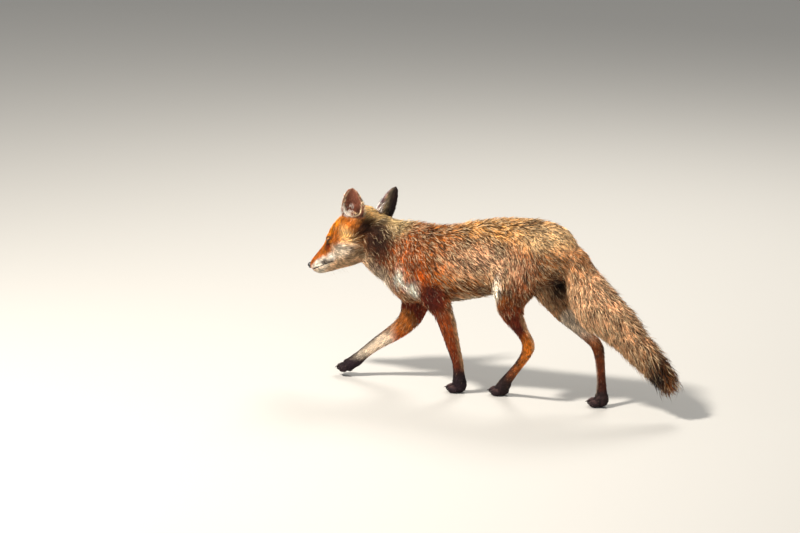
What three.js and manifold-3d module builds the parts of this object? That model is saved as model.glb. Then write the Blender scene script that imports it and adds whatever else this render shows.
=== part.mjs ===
// A red fox walking, life size, out to the tips of its summer coat. Millimetres, +Z up.
// It faces -X, its left side is -Y, and it stands on three paws with its right forepaw raised.
// The origin is on the floor, under the middle of the fox's bounding box.

import * as THREE from "three";
import { mergeVertices } from "three/addons/utils/BufferGeometryUtils.js";
import Module from "manifold-3d";

const wasm = await Module();
wasm.setup();

// Driving dimensions.
const GAP = 0.35; // clearance between neighbouring pieces
const NOSE_TIP = new THREE.Vector3(-362, 10, 231);
const HEAD_PITCH = 34; // degrees, nose down
const HEAD_YAW = 3; // degrees, towards the fox's right
const EYE_RADIUS = 10;
const EYE_CENTRE = { back: 89.5, side: 23.5, up: 16 }; // from the tip of the nose, along the head
const HEAD_FULLNESS = 0.87; // the head's sections are squarer than ovals
const EAR_LENGTH = 89;
const CLAW_LENGTH = 8;
const TAIL_FLATNESS = 0.84; // the brush is a little deeper than it is wide

const SIDES = { trunk: 18, head: 20, leg: 10, tail: 14, ear: 12, eye: 10, nose: 10, toe: 7 };
const FAR_SIDE = 2400; // longer than the fox is any way across

// The look of hair, skin, horn and the wet eye.
const FINISHES = {
  rust: { color: "#a85a2a", roughness: 0.85 },
  straw: { color: "#b58a56", roughness: 0.88 },
  shin: { color: "#6b3320", roughness: 0.85 },
  paw: { color: "#33262a", roughness: 0.85 },
  cream: { color: "#cdb190", roughness: 0.8 },
  ear: { color: "#4a3436", roughness: 0.8 },
  nose: { color: "#1d1718", roughness: 0.35 },
  claw: { color: "#2a2422", roughness: 0.4 },
  eye: { color: "#b5761f", roughness: 0.1 },
};

// ---------------------------------------------------------------- solids

// A closed geometry as a manifold solid, turned right way out.
function solidOf(geometry) {
  const bare = geometry.clone();
  bare.deleteAttribute("normal");
  bare.deleteAttribute("uv");
  const merged = mergeVertices(bare, 1e-4);
  const corners = new Uint32Array(merged.index.array);
  const points = merged.attributes.position.array;
  const solid = new wasm.Manifold(
    new wasm.Mesh({ numProp: 3, vertProperties: points, triVerts: corners }),
  );
  if (solid.volume() > 0) return solid;
  return new wasm.Manifold(
    new wasm.Mesh({ numProp: 3, vertProperties: points, triVerts: corners.reverse() }),
  );
}

function meshOf(name, solid, finish) {
  const made = solid.getMesh();
  const geometry = new THREE.BufferGeometry();
  geometry.setAttribute("position", new THREE.BufferAttribute(made.vertProperties, 3));
  geometry.setIndex(new THREE.BufferAttribute(made.triVerts, 1));
  geometry.computeVertexNormals();
  const material = new THREE.MeshStandardMaterial({ ...FINISHES[finish], metalness: 0 });
  const mesh = new THREE.Mesh(geometry, material);
  mesh.name = name;
  return mesh;
}

// Everything on the side of a plane that its normal points to.
function halfSpace(point, normal, shift = 0) {
  const box = new THREE.BoxGeometry(FAR_SIDE, FAR_SIDE, FAR_SIDE);
  box.translate(0, 0, FAR_SIDE / 2);
  const direction = normal.clone().normalize();
  const turn = new THREE.Quaternion().setFromUnitVectors(new THREE.Vector3(0, 0, 1), direction);
  box.applyQuaternion(turn);
  const at = point.clone().addScaledVector(direction, shift);
  box.translate(at.x, at.y, at.z);
  return solidOf(box);
}

// A body wrapped over rings. A ring has a centre, a half width to the side, and its reach
// along the two ways across; the first and last rings are points, so the form is closed.
// A fullness of 1 makes the sections oval, and less makes them squarer.
function wrap(rings, sides, fullness = 1) {
  const geometry = new THREE.SphereGeometry(1, sides, rings.length - 1);
  const position = geometry.attributes.position;
  const point = new THREE.Vector3();
  for (let i = 0; i < position.count; i++) {
    const ring = rings[Math.floor(i / (sides + 1))];
    const angle = ((i % (sides + 1)) / sides) * 2 * Math.PI;
    const across = Math.cos(angle);
    const rise = Math.sin(angle);
    point.copy(ring.centre);
    point.addScaledVector(ring.side, Math.sign(across) * Math.abs(across) ** fullness);
    point.addScaledVector(rise > 0 ? ring.over : ring.under, Math.abs(rise) ** fullness);
    position.setXYZ(i, point.x, point.y, point.z);
  }
  return geometry;
}

// Rows of sizes with smooth rows put in between.
function smoothRows(rows, perStep) {
  const times = rows.map((row, i) => i);
  const curve = new THREE.CubicInterpolant(times, rows.flat(), rows[0].length);
  const out = [];
  for (let i = 0; i <= (rows.length - 1) * perStep; i++) {
    out.push([...curve.evaluate(i / perStep)]);
  }
  return out;
}

// A form laid along its own X axis, from rows of [x, top, bottom, half width, level], where
// level is the height at which the section is widest.
function formAlongX(rows, perStep, sides, grow, fullness) {
  const rings = smoothRows(rows, perStep).map(([x, top, bottom, half, level], i, all) => {
    const end = i === 0 ? -1 : i === all.length - 1 ? 1 : 0;
    const outwards = end * Math.sign(rows.at(-1)[0] - rows[0][0]) * grow;
    return {
      centre: new THREE.Vector3(x + outwards, 0, level),
      side: new THREE.Vector3(0, end ? 0 : half + grow, 0),
      over: new THREE.Vector3(0, 0, end ? 0 : top - level + grow),
      under: new THREE.Vector3(0, 0, end ? 0 : bottom - level - grow),
    };
  });
  return wrap(rings, sides, fullness);
}

// A form along a path in space, from rows of [x, y, z, tilt, depth, half width]. Tilt is how far
// the front edge of a section lies below its back edge, in degrees.
function formAlongPath(rows, perStep, sides, grow = 0) {
  const rings = smoothRows(rows, perStep).map(([x, y, z, tilt, depth, half], i, all) => {
    const end = i === 0 || i === all.length - 1;
    const angle = THREE.MathUtils.degToRad(tilt);
    const front = new THREE.Vector3(-Math.cos(angle), 0, -Math.sin(angle));
    const reach = end ? 0 : depth + grow;
    return {
      centre: new THREE.Vector3(x, y, z),
      side: new THREE.Vector3(0, end ? 0 : half + grow, 0),
      over: front.clone().multiplyScalar(reach),
      under: front.clone().multiplyScalar(-reach),
    };
  });
  return wrap(rings, sides);
}

// An ellipsoid, its long axis along X.
function ellipsoid(centre, radii, sides, rows) {
  const geometry = new THREE.SphereGeometry(1, sides, rows);
  geometry.scale(radii[0], radii[1], radii[2]);
  geometry.translate(centre[0], centre[1], centre[2]);
  return geometry;
}

// ---------------------------------------------------------------- trunk and neck

// From the rump forward to inside the head.
const TRUNK_ROWS = [
  [248, 318, 310, 0, 314],
  [239, 344, 278, 26, 311],
  [221, 366, 256, 38, 311],
  [192, 378, 243, 46, 311],
  [156, 383, 234, 51, 307],
  [100, 381, 221, 48, 299],
  [48, 374, 206, 48.5, 286],
  [6, 364, 194, 52, 274],
  [-34, 353, 185, 54, 264],
  [-72, 348, 179, 55, 260],
  [-104, 348.5, 175, 53, 260],
  [-128, 349, 174, 50, 262],
  [-150, 350, 183, 46, 267],
  [-172, 355, 206, 42, 281],
  [-196, 357, 218, 40, 288],
  [-222, 352, 234, 37, 293],
  [-244, 326, 262, 24, 294],
  [-254, 296, 290, 0, 293],
];

function trunkForm(grow) {
  return formAlongX(TRUNK_ROWS, 2, SIDES.trunk, grow);
}

// ---------------------------------------------------------------- head

// The head has a frame of its own: X runs back from the tip of the nose, Y to the fox's right
// and Z up out of the crown.
const headFrame = new THREE.Matrix4();
{
  const pitch = THREE.MathUtils.degToRad(HEAD_PITCH);
  const yaw = THREE.MathUtils.degToRad(HEAD_YAW);
  const level = new THREE.Vector3(Math.cos(yaw), -Math.sin(yaw), 0);
  const back = level.clone().multiplyScalar(Math.cos(pitch)).setZ(Math.sin(pitch));
  const right = new THREE.Vector3(Math.sin(yaw), Math.cos(yaw), 0);
  const up = new THREE.Vector3().crossVectors(back, right);
  headFrame.makeBasis(back, right, up).setPosition(NOSE_TIP);
}

// From the tip of the nose back: the muzzle, the stop between 60 and 85, the cheeks widest and
// low at 120 to 140, then the back of the skull.
const HEAD_ROWS = [
  [0, -7, -9, 0, -8],
  [3, -1, -18, 9, -9],
  [9, 1, -27, 13, -12],
  [17, 4.5, -33.5, 15.5, -14],
  [32, 9.5, -38, 17.5, -15],
  [48, 14.5, -42.5, 19.5, -16],
  [62, 20.5, -45.5, 23.5, -16],
  [74, 28, -49, 30, -17],
  [88, 37.5, -52.5, 39, -18],
  [104, 44.5, -56, 48, -20],
  [122, 50, -57, 54, -20],
  [142, 52, -53, 53, -16],
  [160, 51.5, -45, 46, -8],
  [178, 47, -30, 37, 2],
  [195, 34, -10, 24, 10],
  [205, 13, 11, 0, 12],
];

function headForm(grow) {
  const form = formAlongX(HEAD_ROWS, 2, SIDES.head, grow, HEAD_FULLNESS);
  return form.applyMatrix4(headFrame);
}

function headPoint(back, right, up) {
  return new THREE.Vector3(back, right, up).applyMatrix4(headFrame);
}

function headDirection(back, right, up) {
  return new THREE.Vector3(back, right, up).transformDirection(headFrame);
}

// The lips part along one plane, and a second one behind the corner of the mouth ends the jaw.
const MOUTH_FRONT = { back: 7, up: -16.5 };
const MOUTH_CORNER = { back: 55, up: -22.5 };
const JAW_ANGLE = { back: 96, up: -55 };

function jawRegion(shift) {
  const lipPoint = headPoint(MOUTH_CORNER.back, 0, MOUTH_CORNER.up);
  const lipRun = MOUTH_CORNER.back - MOUTH_FRONT.back;
  const lipDown = headDirection(MOUTH_CORNER.up - MOUTH_FRONT.up, 0, -lipRun);
  const hingeRun = JAW_ANGLE.back - MOUTH_CORNER.back;
  const hingeFront = headDirection(JAW_ANGLE.up - MOUTH_CORNER.up, 0, -hingeRun);
  return halfSpace(lipPoint, lipDown, shift).intersect(
    halfSpace(lipPoint, hingeFront, shift),
  );
}

function nosePad(grow) {
  const radii = [7 + grow, 8 + grow, 6 + grow];
  return solidOf(ellipsoid([3, 0, -6], radii, SIDES.nose, 7).applyMatrix4(headFrame));
}

function eyeball(side, grow) {
  const centre = headPoint(EYE_CENTRE.back, side * EYE_CENTRE.side, EYE_CENTRE.up);
  const radius = EYE_RADIUS + grow;
  return solidOf(ellipsoid([centre.x, centre.y, centre.z], [radius, radius, radius], SIDES.eye, 7));
}

// ---------------------------------------------------------------- ears

// Each ear is a cupped shell on an axis from its base to its tip. Its opening faces the way
// the fox has turned it: the left one out to the side, the right one forward and out.
const EARS = {
  left: {
    base: new THREE.Vector3(-244, -30, 328),
    tip: new THREE.Vector3(-238, -46, 419),
    facing: new THREE.Vector3(-0.03, -0.98, 0.1),
  },
  right: {
    base: new THREE.Vector3(-218, 38, 324),
    tip: new THREE.Vector3(-187, 62, 405),
    facing: new THREE.Vector3(-0.96, 0.25, 0.1),
  },
};

// Rows of [share of the length, half width, depth behind, depth before].
const EAR_ROWS = [
  [-0.13, 0, 0, 0],
  [-0.08, 12, 9, 6],
  [0.06, 20, 16, 8],
  [0.24, 25.5, 17, 7.5],
  [0.44, 26.5, 14.5, 6],
  [0.62, 24.5, 11, 4.5],
  [0.79, 19, 7.5, 3.2],
  [0.92, 11.5, 4.2, 2],
  [1.0, 0, 0, 0],
];
const EAR_WALL = 2.8;
const CUP = { from: 0.26, to: 0.965, rows: 8, reach: 30 };

const earCurve = new THREE.CubicInterpolant(
  EAR_ROWS.map((row) => row[0]),
  EAR_ROWS.flat(),
  EAR_ROWS[0].length,
);

// The hollow of an ear keeps the wall's thickness inside the outer rows, and rounds off at
// both of its ends.
function cupRows() {
  const out = [];
  for (let i = 0; i <= CUP.rows; i++) {
    const run = i / CUP.rows;
    const share = CUP.from + (CUP.to - CUP.from) * run;
    const [, half, behind] = earCurve.evaluate(share);
    const round = Math.sin(Math.PI * run) ** 0.3;
    const end = i === 0 || i === CUP.rows;
    out.push([
      share,
      end ? 0 : (half - EAR_WALL) * round,
      end ? 0 : Math.max((behind - EAR_WALL) * round, 0.6),
      end ? 0 : CUP.reach,
    ]);
  }
  return out;
}

function earForm(ear, rows) {
  const axis = ear.tip.clone().sub(ear.base).normalize();
  const across = new THREE.Vector3().crossVectors(axis, ear.facing).normalize();
  const facing = new THREE.Vector3().crossVectors(across, axis);
  const rings = rows.map(([share, half, behind, before]) => {
    return {
      centre: ear.base.clone().addScaledVector(axis, share * EAR_LENGTH),
      side: across.clone().multiplyScalar(half),
      over: facing.clone().multiplyScalar(before),
      under: facing.clone().multiplyScalar(-behind),
    };
  });
  return solidOf(wrap(rings, SIDES.ear));
}

function earSolid(ear) {
  return earForm(ear, EAR_ROWS).subtract(earForm(ear, cupRows()));
}

// ---------------------------------------------------------------- legs

// The build that both legs of a pair share: half depth from front to back, and half width,
// at each named place down the leg.
const FORE_BUILD = {
  top: [0, 0],
  scapula: [24, 12],
  shoulder: [35, 17],
  upperArm: [36, 18],
  elbow: [34, 17],
  forearmTop: [25, 16],
  forearm: [20, 14.5],
  forearmLow: [16.5, 13],
  wrist: [14, 12.5],
  pastern: [13.5, 12.5],
  sole: [15.5, 14],
  end: [0, 0],
};

const HIND_BUILD = {
  top: [0, 0],
  croup: [44, 14],
  hip: [72, 21],
  thigh: [69, 24],
  stifle: [44, 21],
  knee: [30, 17.5],
  shank: [18, 13.5],
  shankLow: [15, 11.5],
  hock: [17, 10.5],
  hockLow: [13.5, 10],
  cannon: [11.5, 10],
  pastern: [12.5, 11.5],
  sole: [15, 14],
  end: [0, 0],
};

// The stance of each leg: [x, y, z, tilt] of the same places.
const STANCES = {
  left_fore: {
    top: [-72, -28, 322, 0],
    scapula: [-80, -32, 300, 0],
    shoulder: [-92, -36, 258, 0],
    upperArm: [-78, -38, 222, 10],
    elbow: [-47, -40, 193, 15],
    forearmTop: [-29, -40, 166, 5],
    forearm: [-17, -37, 128, 0],
    forearmLow: [-9, -32, 95, 0],
    wrist: [-4, -25, 70, 0],
    pastern: [-3, -18, 42, 0],
    sole: [-4, -11, 14, 0],
    end: [-5, -11, -3, 0],
  },
  right_fore: {
    top: [-80, 28, 322, 0],
    scapula: [-88, 32, 300, 0],
    shoulder: [-106, 36, 258, 0],
    upperArm: [-116, 38, 216, -8],
    elbow: [-131, 40, 163, -22],
    forearmTop: [-145, 38, 126, -42],
    forearm: [-171, 34, 100, -52],
    forearmLow: [-200, 29, 79, -50],
    wrist: [-224, 23, 60, -48],
    pastern: [-242, 17, 43, -42],
    sole: [-256, 11, 29, -34],
    end: [-266, 9, 20, -30],
  },
  left_hind: {
    top: [152, -28, 332, 0],
    croup: [148, -30, 318, 0],
    hip: [140, -35, 292, 0],
    thigh: [131, -39, 255, 5],
    stifle: [122, -42, 215, 12],
    knee: [121, -42, 192, 25],
    shank: [139, -40, 162, 40],
    shankLow: [150, -37, 143, 35],
    hock: [157, -34, 124, 0],
    hockLow: [150, -29, 103, -25],
    cannon: [125, -13, 70, -38],
    pastern: [98, 1, 38, -38],
    sole: [82, 8, 14, -20],
    end: [78, 9, -3, 0],
  },
  right_hind: {
    top: [160, 26, 332, 0],
    croup: [158, 29, 318, 0],
    hip: [154, 34, 292, 0],
    thigh: [163, 38, 252, 8],
    stifle: [190, 41, 212, 22],
    knee: [203, 42, 188, 35],
    shank: [233, 40, 158, 52],
    shankLow: [257, 38, 140, 50],
    hock: [280, 34, 124, 20],
    hockLow: [287, 31, 103, 0],
    cannon: [294, 25, 66, -2],
    pastern: [299, 19, 32, 0],
    sole: [300, 17, 12, 0],
    end: [299, 17, -3, 0],
  },
};

// Where each leg is parted, as planes across it: where it leaves the body, at the knee for a
// hind leg, and at the wrist or hock. The direction is the way down the leg.
const CUTS = {
  left_fore: {
    body: { at: [-50, -40, 214], down: [0, 0, -1] },
    foot: { at: [-4, -25, 70], down: [0.05, 0, -1] },
  },
  right_fore: {
    body: { at: [-120, 40, 200], down: [0, 0, -1] },
    foot: { at: [-222, 23, 62], down: [-0.74, -0.2, -0.66] },
  },
  left_hind: {
    body: { at: [130, -40, 268], down: [0, 0, -1] },
    knee: { at: [121, -42, 200], down: [0.35, 0, -0.94] },
    foot: { at: [152, -30, 108], down: [-0.35, 0.1, -0.93] },
  },
  right_hind: {
    body: { at: [160, 40, 268], down: [0, 0, -1] },
    knee: { at: [198, 42, 198], down: [0.5, 0, -0.87] },
    foot: { at: [287, 31, 106], down: [0.05, 0, -1] },
  },
};

// The paws: the middle of each sole, and how far its toes point down.
const PAWS = {
  left_fore: { at: [-6, -11, 0], drop: 0 },
  right_fore: { at: [-263, 8.5, 11], drop: 8 },
  left_hind: { at: [82, 9, 0], drop: 0 },
  right_hind: { at: [297, 17, 0], drop: 0 },
};

// Toes from the inner pair out: the middle of each and its half sizes.
const TOES = [
  { x: -15, y: 5.5, z: 9, radii: [14, 6.3, 10.7] },
  { x: -8, y: 13, z: 8, radii: [13, 6.2, 9.6] },
];
const PAD = { centre: [1, 0, 13], radii: [16, 15, 15.3] };

function legRows(name) {
  const build = name.endsWith("fore") ? FORE_BUILD : HIND_BUILD;
  return Object.entries(build).map(([place, sizes]) => [...STANCES[name][place], ...sizes]);
}

function legForm(name, grow) {
  return solidOf(formAlongPath(legRows(name), 2, SIDES.leg, grow));
}

function pawFrame(name) {
  const { at, drop } = PAWS[name];
  const frame = new THREE.Matrix4().makeRotationY(THREE.MathUtils.degToRad(-drop));
  return frame.setPosition(at[0], at[1], at[2]);
}

function pawForm(name, grow) {
  const frame = pawFrame(name);
  const swell = (radii) => radii.map((radius) => radius + grow);
  const pad = ellipsoid(PAD.centre, swell(PAD.radii), SIDES.toe, 5);
  let paw = solidOf(pad.applyMatrix4(frame));
  for (const toe of TOES) {
    for (const hand of [-1, 1]) {
      const lump = ellipsoid([toe.x, hand * toe.y, toe.z], swell(toe.radii), SIDES.toe, 4);
      paw = paw.add(solidOf(lump.applyMatrix4(frame)));
    }
  }
  return paw;
}

// A claw lies along the top of its toe's end and points forward and a little down.
function clawForm(name, toe, hand) {
  const cone = new THREE.ConeGeometry(1.9, CLAW_LENGTH, 5);
  cone.rotateZ(THREE.MathUtils.degToRad(110));
  cone.translate(toe.x - toe.radii[0] + 1, hand * toe.y, toe.z - 0.5);
  return solidOf(cone.applyMatrix4(pawFrame(name)));
}

function plane(cut, sign, shift) {
  const down = new THREE.Vector3(...cut.down).multiplyScalar(sign);
  return halfSpace(new THREE.Vector3(...cut.at), down, shift);
}

// ---------------------------------------------------------------- tail

// Rows of [x, y, z, slope of the tail below the level, depth] from inside the rump to the tip.
const TAIL_ROWS = [
  [206, 0, 325, 44, 0],
  [222, 0, 317, 42, 26],
  [240, 0, 297, 46, 36],
  [257, 0, 264, 48, 45],
  [277, 0, 231, 46, 53],
  [304, -1, 204, 44, 55.5],
  [335, -2, 184, 43, 49.5],
  [363, -3, 160, 43, 44],
  [393, -4, 134, 43, 42],
  [422, -5, 110, 41, 38.5],
  [445, -6, 87, 39, 34],
  [461, -6, 66, 38, 28],
  [470, -6, 52, 38, 19],
  [475, -6, 44, 38, 0],
].map(([x, y, z, slope, depth]) => [x, y, z, 90 - slope, depth, depth * TAIL_FLATNESS]);

// The tail is parted into three lengths across its own line.
const TAIL_CUTS = [
  { at: [306, 0, 203], down: [0.72, 0, -0.69] },
  { at: [408, 0, 122], down: [0.75, 0, -0.66] },
];

// ---------------------------------------------------------------- assembly

const LEG_NAMES = Object.keys(STANCES);
const trunkCore = solidOf(trunkForm(0));
const trunkGrown = solidOf(trunkForm(GAP));
const floor = halfSpace(new THREE.Vector3(0, 0, 0), new THREE.Vector3(0, 0, 1));
const halfGap = GAP / 2;

// The whole body without its limbs' free lengths and without the tail.
let body = trunkCore.add(solidOf(headForm(0)));
for (const name of LEG_NAMES) {
  body = body.add(legForm(name, 0).intersect(plane(CUTS[name].body, -1, 0)));
}

const BEHIND_EARS = { at: [-211, 0, 297], down: [-0.934, 0, 0.357] };
const BEFORE_SHOULDER = { at: [-148, 0, 262], down: [-0.978, 0, 0.206] };
const headWhole = body.intersect(plane(BEHIND_EARS, 1, halfGap));
const neck = body
  .intersect(plane(BEHIND_EARS, -1, halfGap))
  .intersect(plane(BEFORE_SHOULDER, 1, halfGap));
const trunk = body.intersect(plane(BEFORE_SHOULDER, -1, halfGap));

const fox = new THREE.Group();

let head = headWhole.subtract(jawRegion(-halfGap)).subtract(nosePad(GAP));
for (const side of [-1, 1]) head = head.subtract(eyeball(side, GAP));
const headGrown = solidOf(headForm(GAP));
const bodyGrown = trunkGrown.add(headGrown);
fox.add(meshOf("head", head, "rust"));
fox.add(
  meshOf(
    "lower_jaw",
    headWhole.intersect(jawRegion(halfGap)).subtract(nosePad(GAP)),
    "cream",
  ),
);
fox.add(meshOf("nose", nosePad(0), "nose"));
for (const [name, ear] of Object.entries(EARS)) {
  fox.add(meshOf("ear_" + name, earSolid(ear).subtract(bodyGrown), "ear"));
}
fox.add(meshOf("eye_left", eyeball(-1, 0), "eye"));
fox.add(meshOf("eye_right", eyeball(1, 0), "eye"));
fox.add(meshOf("neck", neck, "straw"));
fox.add(meshOf("trunk", trunk, "rust"));

for (const name of LEG_NAMES) {
  const cuts = CUTS[name];
  const limb = legForm(name, 0)
    .add(pawForm(name, 0))
    .intersect(floor)
    .intersect(plane(cuts.body, 1, GAP))
    .subtract(bodyGrown);
  const upperEnd = cuts.knee ?? cuts.foot;
  const upper = limb.intersect(plane(upperEnd, -1, halfGap));
  const upperName = cuts.knee ? "_thigh" : "_forearm";
  fox.add(meshOf(name + upperName, upper, "rust"));
  if (cuts.knee) {
    const shank = limb
      .intersect(plane(cuts.knee, 1, halfGap))
      .intersect(plane(cuts.foot, -1, halfGap));
    fox.add(meshOf(name + "_shank", shank, "shin"));
  }
  fox.add(
    meshOf(name + "_foot", limb.intersect(plane(cuts.foot, 1, halfGap)), "paw"),
  );
  const pawGrown = pawForm(name, GAP);
  let number = 0;
  for (const hand of [-1, 1]) {
    for (const toe of TOES) {
      number += 1;
      const claw = clawForm(name, toe, hand).subtract(pawGrown);
      fox.add(meshOf(`${name}_claw_${number}`, claw, "claw"));
    }
  }
}

const hindGrown = legForm("left_hind", GAP).add(legForm("right_hind", GAP));
const tail = solidOf(formAlongPath(TAIL_ROWS, 2, SIDES.tail))
  .subtract(trunkGrown)
  .subtract(hindGrown);
const [tailHigh, tailLow] = TAIL_CUTS;
const tailLengths = {
  tail_root: tail.intersect(plane(tailHigh, -1, halfGap)),
  tail_middle: tail
    .intersect(plane(tailHigh, 1, halfGap))
    .intersect(plane(tailLow, -1, halfGap)),
  tail_tip: tail.intersect(plane(tailLow, 1, halfGap)),
};
for (const [name, solid] of Object.entries(tailLengths)) {
  fox.add(meshOf(name, solid, "straw"));
}

// The origin goes to the floor under the middle of the fox.
const bounds = new THREE.Box3().setFromObject(fox);
const middle = bounds.getCenter(new THREE.Vector3());
fox.position.set(-middle.x, -middle.y, -bounds.min.z);

export default fox;
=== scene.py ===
# A red fox in its lean summer coat, life size, walking with its right forepaw raised.
# It faces -X, its left side is -Y, and the floor is at z = 0.
import math
import bpy
import bmesh
import numpy as np
import openvdb
from mathutils import Matrix, Vector
from mathutils.kdtree import KDTree


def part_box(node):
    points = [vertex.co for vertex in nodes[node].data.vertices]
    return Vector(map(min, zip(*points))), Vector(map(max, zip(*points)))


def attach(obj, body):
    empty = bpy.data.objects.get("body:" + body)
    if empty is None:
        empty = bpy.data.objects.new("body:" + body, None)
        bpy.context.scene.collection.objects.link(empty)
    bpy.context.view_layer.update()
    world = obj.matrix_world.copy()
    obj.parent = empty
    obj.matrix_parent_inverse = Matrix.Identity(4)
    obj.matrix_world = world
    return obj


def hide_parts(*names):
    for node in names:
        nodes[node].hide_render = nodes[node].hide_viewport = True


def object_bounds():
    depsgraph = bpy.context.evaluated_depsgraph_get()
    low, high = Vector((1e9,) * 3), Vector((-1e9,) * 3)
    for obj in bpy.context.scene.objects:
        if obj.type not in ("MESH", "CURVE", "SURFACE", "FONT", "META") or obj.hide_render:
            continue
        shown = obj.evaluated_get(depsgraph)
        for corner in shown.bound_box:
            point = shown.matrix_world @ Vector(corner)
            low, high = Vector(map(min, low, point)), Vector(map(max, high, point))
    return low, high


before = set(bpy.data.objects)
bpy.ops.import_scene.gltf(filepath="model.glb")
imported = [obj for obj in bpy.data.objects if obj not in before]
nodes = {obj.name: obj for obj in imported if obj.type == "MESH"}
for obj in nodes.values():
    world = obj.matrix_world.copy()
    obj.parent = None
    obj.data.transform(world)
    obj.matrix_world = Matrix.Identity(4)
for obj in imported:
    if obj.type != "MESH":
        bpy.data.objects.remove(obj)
cad_low, cad_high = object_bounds()
MM = 0.001

# ---------------------------------------------------------------- the camera
# It stands behind the fox's left shoulder line, a little above its back, and far off, so the
# fox is seen nearly without perspective.
CAMERA_TURN = 24  # degrees round from square on to the left side
CAMERA_RISE = 13
CAMERA_ROLL = 1
CAMERA_AWAY = 9.0  # metres
FOCAL = 196.4  # mm, on a film 36 mm wide
FORE_SOLE = Vector((-0.0593, -0.0337, 0.0))  # where the standing forepaw meets the floor
FRAME_WIDE, FRAME_HIGH = 800, 533
SOLE_ACROSS, SOLE_DOWN = 458.0, 394.5  # where that falls in the frame
FILM_WIDE = 36  # mm


def camera_axes():
    turn, rise, roll = (math.radians(a) for a in (CAMERA_TURN, CAMERA_RISE, CAMERA_ROLL))
    back = Vector((math.sin(turn) * math.cos(rise), -math.cos(turn) * math.cos(rise), math.sin(rise)))
    level = Vector((math.cos(turn), math.sin(turn), 0))
    upright = back.cross(level)
    right = level * math.cos(roll) + upright * math.sin(roll)
    up = upright * math.cos(roll) - level * math.sin(roll)
    return right, up, back


def add_camera():
    right, up, back = camera_axes()
    across = FILM_WIDE * CAMERA_AWAY / FOCAL  # metres across the frame at the fox
    aside = (SOLE_ACROSS / FRAME_WIDE - 0.5) * across
    below = (SOLE_DOWN / FRAME_HIGH - 0.5) * across * FRAME_HIGH / FRAME_WIDE
    data = bpy.data.cameras.new("camera")
    data.lens = FOCAL
    data.sensor_width = FILM_WIDE
    data.clip_end = 60
    camera = bpy.data.objects.new("camera", data)
    bpy.context.scene.collection.objects.link(camera)
    place = FORE_SOLE + back * CAMERA_AWAY - right * aside + up * below
    for column, axis in enumerate((right, up, back)):
        for row in range(3):
            camera.matrix_world[row][column] = axis[row]
    camera.matrix_world.translation = place
    bpy.context.scene.camera = camera


add_camera()

# ---------------------------------------------------------------- the animal's line
# Bones and joints that the skin and coat are laid along, in millimetres. The head has a frame
# of its own: back from the tip of the nose, out to the fox's right, and up from the crown.
HEAD_PITCH = math.radians(34)
HEAD_YAW = math.radians(3)
NOSE_TIP = np.array([-421.3, 4.3, 231.0])
HEAD_BACK = np.array([
    math.cos(HEAD_PITCH) * math.cos(HEAD_YAW),
    -math.cos(HEAD_PITCH) * math.sin(HEAD_YAW),
    math.sin(HEAD_PITCH),
])
HEAD_RIGHT = np.array([math.sin(HEAD_YAW), math.cos(HEAD_YAW), 0.0])
HEAD_UP = np.cross(HEAD_BACK, HEAD_RIGHT)


def head(back, right, up):
    return NOSE_TIP + HEAD_BACK * back + HEAD_RIGHT * right + HEAD_UP * up


def head_frame(points):
    away = points - NOSE_TIP
    return away @ HEAD_BACK, away @ HEAD_RIGHT, away @ HEAD_UP


JOINTS = {
    "nose": head(3, 0, -8), "brow": head(78, 0, 2), "poll": head(168, 0, 22),
    "chin": head(16, 0, -26), "gullet": head(105, 0, -42),
    "lip_left": head(40, -14, -20), "cheek_left": head(132, -44, -32),
    "lip_right": head(40, 14, -20), "cheek_right": head(132, 44, -32),
    "neck": (-262, -6, 296), "base": (-206, -6, 282), "withers": (-120, -6, 268),
    "ribs": (0, -6, 272), "loins": (80, -6, 298), "croup": (172, -6, 318),
    "dock": (166, -6, 312), "brush_1": (204, -6, 256), "brush_2": (262, -7, 194),
    "brush_3": (334, -10, 134), "brush_4": (386, -12, 87), "brush_end": (416, -12, 42),
    "ear_left": (-303, -36, 328), "ear_left_tip": (-297, -52, 415),
    "ear_right": (-277, 32, 326), "ear_right_tip": (-247, 56, 402),
    "shoulder_left": (-146, -42, 262), "elbow_left": (-108, -46, 200),
    "forearm_left": (-77, -43, 140), "wrist_left": (-63, -31, 70),
    "pastern_left": (-62, -24, 40), "toes_left": (-84, -17, 8),
    "shoulder_right": (-160, 30, 262), "elbow_right": (-186, 34, 168),
    "forearm_right": (-232, 28, 99), "wrist_right": (-283, 17, 60),
    "pastern_right": (-302, 11, 42), "toes_right": (-345, 3, 14),
    "hip_left": (84, -41, 296), "stifle_left": (62, -48, 210),
    "shin_left": (82, -46, 160), "hock_left": (97, -40, 124),
    "cannon_left": (68, -19, 70), "sole_left": (38, -5, 38), "claws_left": (6, 3, 8),
    "hip_right": (96, 28, 296), "stifle_right": (134, 36, 206),
    "shin_right": (178, 34, 156), "hock_right": (219, 28, 124),
    "cannon_right": (234, 19, 66), "sole_right": (240, 13, 32), "claws_right": (216, 11, 8),
}

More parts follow.
